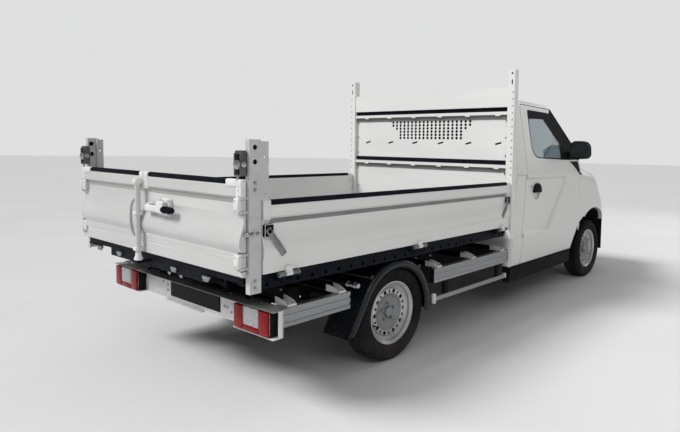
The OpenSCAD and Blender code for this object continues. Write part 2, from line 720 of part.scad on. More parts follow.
beam_rear = -943;
beam_top = 545;
flange_out = 24;
flange_y = [-185, 285];
flange_t = 8;
hood_out = 58;
hood_t = 4;
lamp_end = 32;
lamp_w = 306;
lamp_y = [beam_w / 2 - lamp_end - lamp_w, beam_w / 2 - lamp_end];
module rear_beam()
    color("white") placed() {
        difference() {
            prism_x([[-beam_w / 2, beam_top - beam_h, 6], [beam_w / 2, beam_top - beam_h, 6],
                     [beam_w / 2, beam_top, 6], [-beam_w / 2, beam_top, 6]], beam_rear, rail_rear);
            box([beam_rear + 6, -beam_w / 2 + 6, beam_top - beam_h + 6],
                [rail_rear - 6, beam_w / 2 - 6, beam_top - 6]);
            box([rail_rear - 20, -rail_in + 20, beam_top - beam_h + 20],
                [rail_rear + 20, rail_in - 20, beam_top - 20]);
        }
        // Lower flange under the number plate
        prism_z([[beam_rear - flange_out, flange_y[0] + 25, 0], [beam_rear + 20, flange_y[0], 0],
                 [beam_rear + 20, flange_y[1], 0], [beam_rear - flange_out, flange_y[1] - 25, 0]],
                beam_top - beam_h - flange_t, beam_top - beam_h + 1);
        // Top flange over the lamps, lips under them and bent end plates
        box([beam_rear - hood_out, -beam_w / 2, beam_top - hood_t], [beam_rear + 1, beam_w / 2, beam_top]);
        both_sides() {
            box([beam_rear - hood_out, lamp_y[0] - 14, beam_top - beam_h],
                [beam_rear + 1, beam_w / 2, beam_top - beam_h + hood_t]);
            box([beam_rear - hood_out, beam_w / 2 - 6, beam_top - beam_h],
                [rail_rear + 70, beam_w / 2, beam_top]);
        }
    }
lamp_low_z = beam_top - beam_h + hood_t + 1;
lamp_h = beam_h - 2 * hood_t - 2;
lamp_depth = 64;
lamp_r = 14;
module tail_lamps()
    color("darkred") placed() both_sides()
        prism_x([[lamp_y[0], lamp_low_z, lamp_r], [lamp_y[1], lamp_low_z, lamp_r],
                 [lamp_y[1], lamp_low_z + lamp_h, lamp_r], [lamp_y[0], lamp_low_z + lamp_h, lamp_r]],
                beam_rear - lamp_depth, beam_rear, 3);

// Tipping body, from the rear axle
body_half = body_w / 2;
sheet_x = [body_front - 30, body_front - 24];
proud_x = body_front - 55;
board_post_y = [body_half - 52, body_half + 10];
floor_half = board_post_y[0] - eps;
floor_rear = -1160;
floor_front = proud_x - eps;
frame_front = sheet_x[0] - eps;
long_rear = -1085;
floor_t = 30;
frame_top = floor_z - floor_t;
side_beam = [board_post_y[0] - 50, board_post_y[0]];
beam_deep = 46;
beam_hole_pitch = 98;
beam_hole_r = 11;
bed_cross = [-900, -560, -60, for (k = [0 : 3]) 330 + k / 3 * (floor_front - 420)];
// Dropside hinges
fold_y = body_half + 5;
fold_z = floor_z - 3;
fold_ends = [-930, body_front - 185];
fold_places = [fold_ends[0], (fold_ends[0] + fold_ends[1]) / 2, fold_ends[1]];
fold_pin_r = 7;
fold_knuckle = 40;
// Rear posts and gate hinges
post_x = [-1158, -1093];
post_y = [body_half - 33, body_half - 1];
post_z = [672, 1411];
post_t = 6;
gate_y = body_half - 28;
gate_hinges = [floor_z + 85, floor_z + 355];
gate_knuckle = 50;
gate_pin_r = 7;
module bed_floor()
    color("dimgray") placed()
        box([floor_rear, -floor_half, frame_top], [floor_front, floor_half, floor_z]);
// Long beams that lie on the tipper's own frame, with the plate and ears for the ram's eye
module bed_frame()
    color([0.12, 0.13, 0.2]) placed() {
        both_sides() {
            box([long_rear, sub_in, sub_top + eps], [frame_front, sub_out, frame_top]);
            box([ram_eye[0] - 40, 38, ram_eye[1] - 36], [ram_eye[0] + 40, 52, frame_top]);
        }
        box([ram_eye[0] - 60, -sub_in - 1, frame_top - 26], [ram_eye[0] + 60, sub_in + 1, frame_top]);
    }
module bed_cross_beams()
    color([0.12, 0.13, 0.2]) placed() {
        for (x = bed_cross) {
            box([x - 30, -sub_in + eps, frame_top - 42], [x + 30, sub_in - eps, frame_top]);
            both_sides()
                box([x - 30, sub_out + eps, frame_top - 42], [x + 30, side_beam[0] - eps, frame_top]);
        }
        // Ears on the tipping shaft
        both_sides() difference() {
            union() {
                rod_y(sub_out + 6, sub_out + 26, tip_pivot[0], tip_pivot[1], 34);
                box([tip_pivot[0] - 34, sub_out + 6, tip_pivot[1]],
                    [tip_pivot[0] + 34, sub_out + 26, frame_top]);
            }
            rod_y(sub_out, sub_out + 40, tip_pivot[0], tip_pivot[1], tip_shaft_r + eps);
        }
        // Rear beam, and the keeper under the lock bar
        box([floor_rear, -side_beam[0] + eps, frame_top - beam_deep],
            [long_rear - eps, side_beam[0] - eps, frame_top]);
        box([lock_x - 16, lock_y - 19, frame_top - 20], [floor_rear + 2, lock_y + 19, frame_top - 6]);
    }
module bed_side_beams()
    color([0.12, 0.13, 0.2]) placed() both_sides() {
        difference() {
            box([floor_rear, side_beam[0], frame_top - beam_deep], [frame_front, side_beam[1], frame_top]);
            box([floor_rear - 1, side_beam[0] - 1, frame_top - beam_deep + 6],
                [frame_front + 1, side_beam[1] - 6, frame_top - 6]);
            for (x = [floor_rear + 140 : beam_hole_pitch : frame_front - 60])
                rod_y(side_beam[1] - 8, side_beam[1] + 2, x, frame_top - beam_deep / 2, beam_hole_r,
                    $fn = 16);
        }
        // Foot of the rear post
        box([floor_rear, side_beam[1] - 1, frame_top - beam_deep], [post_x[1], post_y[0], frame_top]);
        // Lugs and pins of the dropside hinges
        for (x = fold_places) {
            for (s = [-1, 1]) translate([x + s * (fold_knuckle / 2 + 9), 0, 0]) {
                box([-8, side_beam[1] - 8, fold_z - 40], [8, fold_y, frame_top]);
                box([-8, side_beam[1] + 1, frame_top - 1], [8, fold_y, fold_z + 9]);
                rod_x(-8, 8, fold_y, fold_z, 11);
            }
            rod_x(x - fold_knuckle / 2 - 24, x + fold_knuckle / 2 + 24, fold_y, fold_z, fold_pin_r);
        }
    }
board_post_x = [body_front - 62, body_front];
board_post_low = 650;
board_post_t = 5;
// Headboard: a back sheet, an upper box and two ledges that stand proud of it
panel_top = 1886;
upper_low = 1731;
// Each ledge: underside, top
ledges = [[1230, 1255], [1669, 1694]];
tab_count = 6;
tab_pitch = 0.342 * board_post_y[0];
tab_mid = -31;
tab_w = 46;
tab_drop = 10;
// Vent field: columns, rows and their pitch, with shorter columns at its ends
vent_cols = 20;
vent_rows = 7;
vent_col_pitch = body_w / 40;
vent_row_pitch = 29;
vent_mid = -53;
vent_top = 1650;
vent_r = 10;
function vent_depth(k) = let (e = min(k, vent_cols - 1 - k)) e == 0 ? 3 : e == 1 ? 4 : vent_rows;
slot_z = 1432;
slot_size = [62, 15];
slot_tilt = 14;
post_hole_pitch = 56;
post_hole_r = 4.5;
module tab_row()
    for (k = [0 : tab_count - 1]) translate([0, tab_mid + (k - (tab_count - 1) / 2) * tab_pitch, 0])
        children();
module post_hole(y, z, r)
    rod_x(board_post_x[0] - 1, board_post_x[0] + board_post_t + 1, y, z, r, $fn = 16);
module headboard()
    color("white") placed() {
        difference() {
            box([sheet_x[0], -board_post_y[0] - 1, frame_top - beam_deep],
                [sheet_x[1], board_post_y[0] + 1, panel_top]);
            for (k = [0 : vent_cols - 1], j = [0 : vent_depth(k) - 1])
                rod_x(sheet_x[0] - 1, sheet_x[1] + 1, vent_mid + (k - (vent_cols - 1) / 2) * vent_col_pitch,
                      vent_top - j * vent_row_pitch, vent_r, $fn = 16);
            tab_row() translate([sheet_x[0] - 1, 0, slot_z]) rotate([-slot_tilt, 0, 0])
                box([0, -slot_size[0] / 2, -slot_size[1] / 2],
                    [sheet_x[1] - sheet_x[0] + 2, slot_size[0] / 2, slot_size[1] / 2]);
        }
        box([proud_x, -board_post_y[0] - 1, upper_low], [sheet_x[0] + 1, board_post_y[0] + 1, panel_top]);
        // Sill that meets the floor's front edge
        box([proud_x, -board_post_y[0] - 1, frame_top + eps],
            [sheet_x[0] + 1, board_post_y[0] + 1, floor_z - eps]);
        for (z = ledges) {
            box([proud_x, -board_post_y[0] - 1, z[0]], [sheet_x[0] + 1, board_post_y[0] + 1, z[1]]);
            tab_row() box([proud_x, -tab_w / 2, z[0] - tab_drop], [proud_x + 4, tab_w / 2, z[0] + 1]);
        }
        both_sides() {
            difference() {
                box([board_post_x[0], board_post_y[0], board_post_low],
                    [board_post_x[1], board_post_y[1], post_top]);
                box([board_post_x[0] + board_post_t, board_post_y[0] + board_post_t, board_post_low - 1],
                    [board_post_x[1] - board_post_t, board_post_y[1] - board_post_t,
                        post_top - board_post_t]);
                // Rows of holes up the rear face
                for (z = [side_top + 70 : post_hole_pitch : post_top - 150])
                    post_hole(board_post_y[1] - 14, z, post_hole_r);
                // Eye and slot at the top
                post_hole(board_post_y[1] - 24, post_top - 30, 7);
                box([board_post_x[0] - 1, board_post_y[1] - 30, post_top - 120],
                    [board_post_x[0] + board_post_t + 1, board_post_y[1] - 18, post_top - 80]);
            }
        }
    }
lash_heights = [post_z[1] - 37, post_z[1] - 106];
flange_x = post_x[1] + 44;
flange_z = [post_z[1] - 283, post_z[1] - 8];
flange_holes = [flange_z[0] + 22, flange_z[1] - 76];
flange_hole_r = 6;
claw_x = post_x[0] - 38;
claw_y = [post_y[0] - 37, post_y[0] + 18];
claw_z = [post_z[1] - 171, post_z[1] - 66];
claw_t = 8;
module rear_posts()
    color("whitesmoke") placed() both_sides() {
        difference() {
            union() {
                difference() {
                    box([post_x[0], post_y[0], post_z[0]], [post_x[1], post_y[1], post_z[1]]);
                    box([post_x[0] + post_t, post_y[0] - 1, post_z[0] - 1],
                        [post_x[1] - post_t, post_y[1] - post_t, post_z[1] + 1]);
                }
                box([post_x[1] - 1, post_y[1] - post_t, flange_z[0]], [flange_x, post_y[1], flange_z[1]]);
            }
            for (z = lash_heights)
                rod_y(post_y[0] - 5, post_y[1] + 5, (post_x[0] + post_x[1]) / 2, z, lash_r);
            for (z = flange_holes)
                rod_y(post_y[0] - 5, post_y[1] + 5, (post_x[1] + flange_x) / 2, z, flange_hole_r);
        }
        // Claw for the gate's upper edge, with its pin
        box([post_x[0] - claw_t, claw_y[0], claw_z[0]], [post_x[0] + 1, claw_y[1], claw_z[1]]);
        for (y = [claw_y[0], claw_y[1] - claw_t])
            box([claw_x, y, claw_z[0]], [post_x[0], y + claw_t, claw_z[1]]);
        rod_y(claw_y[0] - 6, claw_y[1] + 6, claw_x + 16, (claw_z[0] + claw_z[1]) / 2, 13);
        // Gate hinge lugs with their pins
        for (z = gate_hinges) {
            for (s = [-1, 1]) translate([0, 0, z + s * (gate_knuckle / 2 + 8)]) {
                box([gate_hinge_x, gate_y - 12, -6], [post_x[0], gate_y + 12, 6]);
                rod_z(-6, 6, gate_hinge_x, gate_y, 12);
            }
            rod_z(z - gate_knuckle / 2 - 14, z + gate_knuckle / 2 + 14, gate_hinge_x, gate_y, gate_pin_r);
        }
    }

// Dropsides: one outline for both, drawn in y and z for the left side
side_low = floor_z + 12;
side_top = side_low + side_h - 2;
side_x = [-1080, body_front - 75];
board_bulge = 6;
board_sink = 14;
function board_outline(out, low, top) =
    [[out - side_t, low, 0], [out - 4, low, 2], [out - 4, low + 66, 40], [out + board_bulge, low + 86, 40],
     [out + board_bulge, low + 124, 130], [out - board_sink, low + 180, 200],
     [out - board_sink, top - 80, 6],
     [out, top - 68, 4], [out, top - 12, 10], [out - side_t, top, 10]];
latch_in = 29;
latch_drop = 139;
latch_lean = 36;
latch_len = 150;
module dropside_half()
    difference() {
        union() {
            prism_x(board_outline(body_half, side_low, side_top), side_x[0], side_x[1], 3);
            for (x = fold_places) {
                rod_x(x - fold_knuckle / 2, x + fold_knuckle / 2, fold_y, fold_z, 12);
                box([x - fold_knuckle / 2, body_half - 10, fold_z],
                    [x + fold_knuckle / 2, body_half + 10, side_low + 24]);
            }
            // End latches: a housing with a paddle that lies slantwise on the panel
            for (e = [[side_x[0] + latch_in, -latch_lean], [side_x[1] - latch_in, latch_lean]])
                translate([e[0], 0, side_top - latch_drop]) {
                    box([-26, body_half - board_sink - 2, -28], [26, body_half + 8, 34]);
                    rotate([0, e[1], 0]) box([-15, body_half - 4, -latch_len], [15, body_half + 10, 14]);
                }
        }
        for (x = fold_places) rod_x(x - fold_knuckle, x + fold_knuckle, fold_y, fold_z, fold_pin_r + eps);
    }
module dropside_left() color("whitesmoke") placed() dropside_half();
module dropside_right() color("whitesmoke") placed() mirror([0, 1, 0]) dropside_half();

// Gate leaves: the same kind of outline, lying across the rear
gate_out = gate_hinge_x - 5;
gate_in = gate_out + side_t;
gate_top = side_low + gate_h;
gate_split = [46, 54];
gate_end = gate_y + 10;
lock_r = 15.5;
lock_y = gate_split[1] + lock_r + 1;
lock_x = gate_out - 26;
lever_y = [-340, -226, -152];
lever_z = side_low + 271;
module gate_leaf(y0, y1)
    translate([gate_in, 0, 0]) mirror([1, 0, 0]) prism_y(board_outline(side_t, side_low, gate_top), y0,
        y1, 3);
module gate_knuckles(side)
    for (z = gate_hinges) {
        rod_z(z - gate_knuckle / 2, z + gate_knuckle / 2, gate_hinge_x, side * gate_y, 13);
        translate([0, side * (gate_y - 12), 0])
            box([gate_out - 3, -40, z - gate_knuckle / 2], [gate_in - 1, 40, z + gate_knuckle / 2]);
    }
module gate_notches(side)
    for (z = gate_hinges) {
        for (s = [-1, 1]) translate([0, side * gate_y, z + s * (gate_knuckle / 2 + 11)])
            box([gate_out - 60, -22, -11], [gate_in + 60, 22, 11]);
        rod_z(z - gate_knuckle, z + gate_knuckle, gate_hinge_x, side * gate_y, gate_pin_r + eps);
        translate([0, side * (gate_y + 30), z])
            box([gate_out - 60, -20, -gate_knuckle / 2], [gate_in + 60, 20, gate_knuckle / 2]);
    }
module gate_left()
    color("whitesmoke") placed() {
        difference() {
            union() {
                gate_leaf(gate_split[1], gate_end);
                gate_knuckles(1);
            }
            gate_notches(1);
        }
        // Lock bar down the free end
        rod_z(side_low - 30, gate_top - 30, lock_x, lock_y, lock_r);
        for (z = [side_low + 20, (side_low + gate_top) / 2, gate_top - 46])
            box([lock_x, lock_y - 14, z - 14], [gate_out + 8, lock_y + 22, z + 14]);
    }
module gate_right()
    color("whitesmoke") placed() {
        difference() {
            union() {
                gate_leaf(-gate_end, gate_split[0]);
                gate_knuckles(-1);
            }
            gate_notches(-1);
        }
        // Lever in its keeper
        box([gate_hinge_x - 36, lever_y[1], lever_z - 22], [gate_out + 14, lever_y[2], lever_z + 38]);
        rod_y(lever_y[0], lever_y[1] + 20, gate_hinge_x - 33, lever_z, 12);
    }

// Lifting ram, drawn along +z from its foot
ram_tilt = atan2(ram_dir[0], ram_dir[1]);
barrel_r = 48;
sleeve_r = 38;
rod_r = 28;
stage_len = 285;
module ram_at() placed() translate([ram_foot[0], 0, ram_foot[1]]) rotate([0, ram_tilt, 0]) children();
module ram_barrel()
    color("dimgray") ram_at() difference() {
        union() {
            cylinder(r = barrel_r, h = stage_len);
            rod_y(-40, 40, 0, 0, ram_pin_r + 18);
        }
        translate([0, 0, 46]) cylinder(r = sleeve_r + eps, h = stage_len);
        rod_y(-60, 60, 0, 0, ram_pin_r + eps);
    }
module ram_sleeve()
    color("silver") ram_at() difference() {
        translate([0, 0, 47]) cylinder(r = sleeve_r, h = stage_len - 35);
        translate([0, 0, 60]) cylinder(r = rod_r + eps, h = stage_len);
    }
module ram_rod()
    color("silver") ram_at() {
        translate([0, 0, 61]) cylinder(r = rod_r, h = ram_len - 61);
        rod_y(-30, 30, 0, ram_len, 24);
    }

at_cab() cab_floor();
at_cab() cab_rear_wall();
at_cab() cab_roof();
at_cab() cab_sides();
at_cab() bonnet();
at_cab() front_wings();
at_cab() front_bumper();
at_cab() front_grille();
at_cab() front_carrier();
at_cab() headlamps();
at_cab() cab_glass();
color("white") at_cab() door_half();  // door_left
color("white") at_cab() mirror([0, 1, 0]) door_half();  // door_right
color([0.2, 0.24, 0.26, 0.6]) at_cab() door_glass_half();  // door_glass_left
color([0.2, 0.24, 0.26, 0.6]) at_cab() mirror([0, 1, 0]) door_glass_half();  // door_glass_right
color("black") at_cab() mirror_half();  // mirror_left
color("black") at_cab() mirror([0, 1, 0]) mirror_half();  // mirror_right
at_cab() seats();
at_cab() dashboard();
at_cab() sills_and_liners();
at_cab() battery_and_motor();
chassis_frame();
front_subframe();
rear_axle();
mudguards();
side_rails();
rail_brackets();
rear_beam();
tail_lamps();
tipper_subframe();
knuckle_left();
knuckle_right();
tyre_front_left();
tyre_front_right();
tyre_rear_left();
tyre_rear_right();
rim_front_left();
rim_front_right();
rim_rear_left();
rim_rear_right();
bed_floor();
bed_frame();
bed_cross_beams();
bed_side_beams();
headboard();
rear_posts();
dropside_left();
dropside_right();
gate_left();
gate_right();
ram_barrel();
ram_sleeve();
ram_rod();
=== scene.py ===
"""Looks of a light chassis cab with a dropside tipper body: finishes, fittings, light and camera."""
import json
import math
import bmesh
import bpy
from mathutils import Matrix, Vector
from mathutils.bvhtree import BVHTree


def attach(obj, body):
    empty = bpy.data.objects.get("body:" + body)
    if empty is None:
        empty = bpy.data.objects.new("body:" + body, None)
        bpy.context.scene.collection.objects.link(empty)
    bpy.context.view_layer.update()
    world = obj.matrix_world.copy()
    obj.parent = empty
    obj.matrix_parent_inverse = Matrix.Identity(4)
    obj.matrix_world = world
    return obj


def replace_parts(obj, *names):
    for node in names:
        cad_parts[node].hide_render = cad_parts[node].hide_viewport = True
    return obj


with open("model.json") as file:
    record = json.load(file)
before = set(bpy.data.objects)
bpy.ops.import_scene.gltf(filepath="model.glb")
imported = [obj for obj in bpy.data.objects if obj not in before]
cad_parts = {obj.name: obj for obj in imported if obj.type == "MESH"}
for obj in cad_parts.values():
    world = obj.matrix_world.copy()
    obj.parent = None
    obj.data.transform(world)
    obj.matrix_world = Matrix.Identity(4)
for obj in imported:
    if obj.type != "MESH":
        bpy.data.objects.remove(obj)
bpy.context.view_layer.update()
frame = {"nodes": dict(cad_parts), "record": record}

scene = bpy.context.scene
nodes = frame["nodes"]
body_of = {node: body for body, names in frame["record"]["behaviour"]["bodies"].items() for node in names}

# Places in millimetres from the rear axle, +x forwards, +y left, +z up from the road
MIDDLE = 1422.5
FRONT_AXLE = 3285
WHEEL_Z = 311
TRACK_HALF = 745
CAB_HALF = 886
BOTH = (1, -1)
SIDES = ((1, "left"), (-1, "right"))


def at(x, y, z):
    return Vector((x - MIDDLE, y, z)) / 1000


def cab_at(x, y, z):
    return at(FRONT_AXLE + x, y, z)


# Finishes

def new_noise(tree, place, size, detail=4.0, rough=0.55):
    noise = tree.nodes.new("ShaderNodeTexNoise")
    noise.inputs["Scale"].default_value = size
    noise.inputs["Detail"].default_value = detail
    noise.inputs["Roughness"].default_value = rough
    tree.links.new(place, noise.inputs["Vector"])
    return noise.outputs["Fac"]


def remap(tree, value, low, high, to_low, to_high):
    node = tree.nodes.new("ShaderNodeMapRange")
    node.interpolation_type = "SMOOTHSTEP"
    for name, number in (("From Min", low), ("From Max", high), ("To Min", to_low), ("To Max", to_high)):
        node.inputs[name].default_value = number
    tree.links.new(value, node.inputs["Value"])
    return node.outputs["Result"]


def times(tree, a, b):
    node = tree.nodes.new("ShaderNodeMath")
    node.operation = "MULTIPLY"
    for socket, value in zip(node.inputs, (a, b)):
        if isinstance(value, float):
            socket.default_value = value
        else:
            tree.links.new(value, socket)
    return node.outputs["Value"]


def mixed(tree, share, a, b):
    node = tree.nodes.new("ShaderNodeMix")
    node.data_type = "RGBA"
    tree.links.new(share, node.inputs[0])
    for socket, value in ((node.inputs[6], a), (node.inputs[7], b)):
        if isinstance(value, tuple):
            socket.default_value = (*value, 1)
        else:
            tree.links.new(value, socket)
    return node.outputs[2]


def surface_place(tree, stretch=(1, 1, 1)):
    coordinates = tree.nodes.new("ShaderNodeTexCoord")
    mapping = tree.nodes.new("ShaderNodeMapping")
    mapping.inputs["Scale"].default_value = stretch
    tree.links.new(coordinates.outputs["Object"], mapping.inputs["Vector"])
    return coordinates.outputs["Object"], mapping.outputs["Vector"]


def new_surface(name):
    """A new material, with its node tree and its shader."""
    material = bpy.data.materials.new(name)
    material.use_nodes = True
    return material, material.node_tree, material.node_tree.nodes["Principled BSDF"]


def new_wave(tree, place, axis, size, distortion=0.0):
    wave = tree.nodes.new("ShaderNodeTexWave")
    wave.bands_direction = axis
    wave.inputs["Scale"].default_value = size
    wave.inputs["Distortion"].default_value = distortion
    tree.links.new(place, wave.inputs["Vector"])
    return wave.outputs["Fac"]


def raise_skin(tree, shader, height, strength, distance):
    """Lets a pattern stand out of the surface, by a distance in metres."""
    bump = tree.nodes.new("ShaderNodeBump")
    bump.inputs["Strength"].default_value = strength
    bump.inputs["Distance"].default_value = distance
    tree.links.new(height, bump.inputs["Height"])
    tree.links.new(bump.outputs["Normal"], shader.inputs["Normal"])


ROAD_FILM = (0.20, 0.185, 0.165)
COAT_ROUGHNESS = 0.12
RELIEF_DEPTH = 0.001
RIB_DEPTH, RIB_STRENGTH = 0.002, 0.6
WEAVE_DEPTH, WEAVE_STRENGTH = 0.0008, 0.5


def finish(name, colour, shade, rough, metallic=0.0, coat=0.0, drift=3.0, drift_share=0.6, gloss_spread=0.08,
           gloss_size=60.0, relief=0.0, relief_size=500.0, stretch=(1, 1, 1), film=0.0, film_top=0.75,
           specular=0.5):
    """A surface that drifts between two tones, with uneven gloss, a fine relief and road film low down."""
    material, tree, shader = new_surface(name)
    shader.inputs["Metallic"].default_value = metallic
    shader.inputs["Coat Weight"].default_value = coat
    shader.inputs["Coat Roughness"].default_value = COAT_ROUGHNESS
    shader.inputs["Specular IOR Level"].default_value = specular
    plain, place = surface_place(tree, stretch)
    tone = mixed(tree, remap(tree, new_noise(tree, place, drift, 6), 0.36, 0.68, 0, drift_share), colour,
                 shade)
    if film:
        split = tree.nodes.new("ShaderNodeSeparateXYZ")
        tree.links.new(plain, split.inputs["Vector"])
        low = remap(tree, split.outputs["Z"], 0.12, film_top, film, 0.0)
        patches = remap(tree, new_noise(tree, plain, 7.0, 8, 0.65), 0.3, 0.72, 0.35, 1.0)
        tone = mixed(tree, times(tree, low, patches), tone, ROAD_FILM)
    tree.links.new(tone, shader.inputs["Base Color"])
    gloss = remap(tree, new_noise(tree, place, gloss_size, 5), 0.3, 0.7, rough - gloss_spread,
                  rough + gloss_spread)
    tree.links.new(gloss, shader.inputs["Roughness"])
    if relief:
        raise_skin(tree, shader, new_noise(tree, place, relief_size, 3), relief, RELIEF_DEPTH)
    return material


def lens(name, colour, shade, rough, through, rib_size=0.0, rib_axis="Y", ior=1.49, specular=0.5):
    """A moulded lens or pane: clear or tinted, with faint haze and, on lamps, moulded ribs."""
    material, tree, shader = new_surface(name)
    shader.inputs["Transmission Weight"].default_value = through
    shader.inputs["Specular IOR Level"].default_value = specular
    shader.inputs["IOR"].default_value = ior
    place = surface_place(tree)[1]
    tree.links.new(mixed(tree, remap(tree, new_noise(tree, place, 5.0, 5), 0.4, 0.7, 0, 0.5), colour, shade),
                   shader.inputs["Base Color"])
    tree.links.new(remap(tree, new_noise(tree, place, 30.0, 4), 0.35, 0.7, rough, rough + 0.06),
                   shader.inputs["Roughness"])
    if rib_size:
        raise_skin(tree, shader, new_wave(tree, place, rib_axis, rib_size), RIB_STRENGTH, RIB_DEPTH)
    return material


def woven(name, colour, shade, thread=900.0):
    """Seat cloth: crossed threads with a soft sheen."""
    material, tree, shader = new_surface(name)
    shader.inputs["Roughness"].default_value = 0.9
    shader.inputs["Sheen Weight"].default_value = 0.35
    place = surface_place(tree)[1]
    threads = [new_wave(tree, place, axis, thread / 6.3, 1.2) for axis in "XYZ"]
    weave = times(tree, times(tree, threads[0], threads[1]), threads[2])
    tone = mixed(tree, remap(tree, weave, 0.02, 0.5, 0, 1), shade, colour)
    worn = remap(tree, new_noise(tree, place, 9.0, 5), 0.45, 0.75, 0, 0.3)
    tree.links.new(mixed(tree, worn, tone, tuple(1.5 * c for c in colour)), shader.inputs["Base Color"])
    raise_skin(tree, shader, weave, WEAVE_STRENGTH, WEAVE_DEPTH)
    return material


cab_white = finish("cab_white", (0.75, 0.75, 0.725), (0.73, 0.73, 0.705), 0.30, coat=0.35, drift=0.8,
                   drift_share=0.4, film=0.12, film_top=0.5, gloss_spread=0.02, gloss_size=3)
board_white = finish("board_white", (0.77, 0.77, 0.75), (0.72, 0.72, 0.70), 0.40, coat=0.15, drift=5.0,
                     stretch=(0.35, 0.35, 1.6), relief=0.04, relief_size=700, gloss_size=25)
# A darker copy of the boards' white for the gate leaves, which face the sun: painted shade.
gate_shaded_white = finish("gate_shaded_white", (0.56, 0.565, 0.555), (0.50, 0.505, 0.495), 0.36, coat=0.2, drift=5.0,
                    stretch=(0.35, 0.35, 1.6), relief=0.04, relief_size=700, gloss_size=25)
# White of the fittings, and also the painted sunlight on the rail brackets' outer ends.
fitting_and_sunlit_white = finish("fitting_and_sunlit_white", (0.74, 0.745, 0.74), (0.64, 0.64, 0.62), 0.45, drift=22.0,
                       relief=0.06, relief_size=600, film=0.3, film_top=0.5)
post_grey = finish("post_grey", (0.54, 0.545, 0.54), (0.46, 0.463, 0.457), 0.45, drift=22.0, relief=0.06,
                   relief_size=600, film=0.3, film_top=0.5)
# Grey of the lamp hood, and also of the strip under the gates' rims that is painted shadow.
hood_and_shadow_grey = finish("hood_and_shadow_grey", (0.36, 0.36, 0.34), (0.29, 0.29, 0.275), 0.55, drift=9.0, stretch=(1, 0.2, 1),
                   relief=0.08)
# Grey of the strips that are painted shadow under the dropsides' rims and the headboard's ledges.
grey_painted_shade = finish("grey_painted_shade", (0.22, 0.225, 0.225), (0.17, 0.172, 0.172), 0.6, drift=7.0,
                    stretch=(1, 0.2, 1))
# Black of the rubber parts, and also of the sheets, discs and hole walls that are painted shade in the
# headboard and the posts.
rubber_and_shade_black = finish("rubber_and_shade_black", (0.006, 0.007, 0.012), (0.013, 0.014, 0.019), 0.6, drift=30.0,
                     relief=0.12, relief_size=900, specular=0.05)
frame_navy = finish("frame_navy", (0.006, 0.007, 0.013), (0.013, 0.014, 0.018), 0.5, drift=14.0, relief=0.08,
                    film=0.06, film_top=0.7, specular=0.06)
# Black of the chassis, and also the painted shade on the rail brackets' arms and on the walls of the rims'
# holes.
chassis_and_shade_black = finish("chassis_and_shade_black", (0.008, 0.008, 0.009), (0.017, 0.016, 0.016), 0.55, drift=16.0,
                       relief=0.1, film=0.12, film_top=0.6, specular=0.06)
grained_black = finish("grained_black", (0.009, 0.0095, 0.011), (0.016, 0.016, 0.018), 0.55, drift=24.0,
                       relief=0.25, relief_size=1400, film=0.06, film_top=0.45, specular=0.05)
guard_black = finish("guard_black", (0.005, 0.006, 0.010), (0.009, 0.010, 0.014), 0.30, drift=9.0,
                     relief=0.02, relief_size=60, film=0.05, film_top=0.5, specular=0.4)
dark_zinc = finish("dark_zinc", (0.26, 0.265, 0.27), (0.15, 0.153, 0.157), 0.40, metallic=0.8, drift=40.0,
                   relief=0.1)
claw_steel = finish("claw_steel", (0.13, 0.133, 0.137), (0.07, 0.072, 0.075), 0.45, metallic=0.6, drift=40.0,
                    relief=0.15)
tyre_rubber = finish("tyre_rubber", (0.010, 0.010, 0.011), (0.02, 0.0195, 0.019), 0.78, drift=20.0,
                     relief=0.2, relief_size=800, film=0.15, film_top=0.3, specular=0.12)
rim_silver = finish("rim_silver", (0.56, 0.565, 0.57), (0.48, 0.485, 0.49), 0.36, metallic=0.6, coat=0.25,
                    drift=12.0, film=0.3, film_top=0.4, relief=0.04)
hub_grey = finish("hub_grey", (0.30, 0.305, 0.31), (0.23, 0.233, 0.236), 0.48, metallic=0.4, drift=20.0,
                  relief=0.08)
rail_aluminium = finish("rail_aluminium", (0.34, 0.345, 0.35), (0.27, 0.275, 0.28), 0.42, metallic=0.85,
                        drift=40.0, stretch=(0.03, 1, 1), gloss_size=120, relief=0.06, relief_size=300,
                        film=0.2, film_top=0.55)
load_plate = finish("load_plate", (0.36, 0.365, 0.37), (0.25, 0.25, 0.25), 0.5, metallic=0.25, drift=8.0,
                    drift_share=0.8, stretch=(0.4, 1, 1), relief=0.12, relief_size=250)
zinc_steel = finish("zinc_steel", (0.50, 0.51, 0.52), (0.34, 0.35, 0.36), 0.36, metallic=1.0, drift=45.0,
                    relief=0.06)
chromed_rod = finish("chromed_rod", (0.66, 0.67, 0.68), (0.58, 0.59, 0.60), 0.14, metallic=1.0,
                     gloss_spread=0.05)
cast_iron = finish("cast_iron", (0.035, 0.034, 0.034), (0.075, 0.06, 0.05), 0.65, metallic=0.3, drift=18.0,
                   relief=0.4, relief_size=260, film=0.4, film_top=0.6)
trim_grey = finish("trim_grey", (0.045, 0.046, 0.049), (0.07, 0.07, 0.073), 0.6, drift=12.0, relief=0.3,
                   relief_size=1100)
plate_black = finish("plate_black", (0.004, 0.004, 0.005), (0.008, 0.008, 0.009), 0.4, drift=6.0,
                     specular=0.08)
screen_black = finish("screen_black", (0.006, 0.006, 0.008), (0.012, 0.012, 0.014), 0.12, coat=0.6, drift=4.0)
lamp_bowl = finish("lamp_bowl", (0.80, 0.81, 0.82), (0.70, 0.71, 0.72), 0.30, metallic=0.9, drift=12.0,
                   relief=0.01)
silver_glass = finish("silver_glass", (0.16, 0.175, 0.18), (0.12, 0.13, 0.135), 0.08, metallic=1.0,
                      gloss_spread=0.03)
cab_glass_tint = lens("cab_glass_tint", (0.47, 0.54, 0.575), (0.41, 0.48, 0.515), 0.01, 0.9, ior=1.45)
red_lens = lens("red_lens", (0.33, 0.002, 0.005), (0.17, 0.001, 0.003), 0.08, 0.25, 34.0, "Z", specular=0.15)
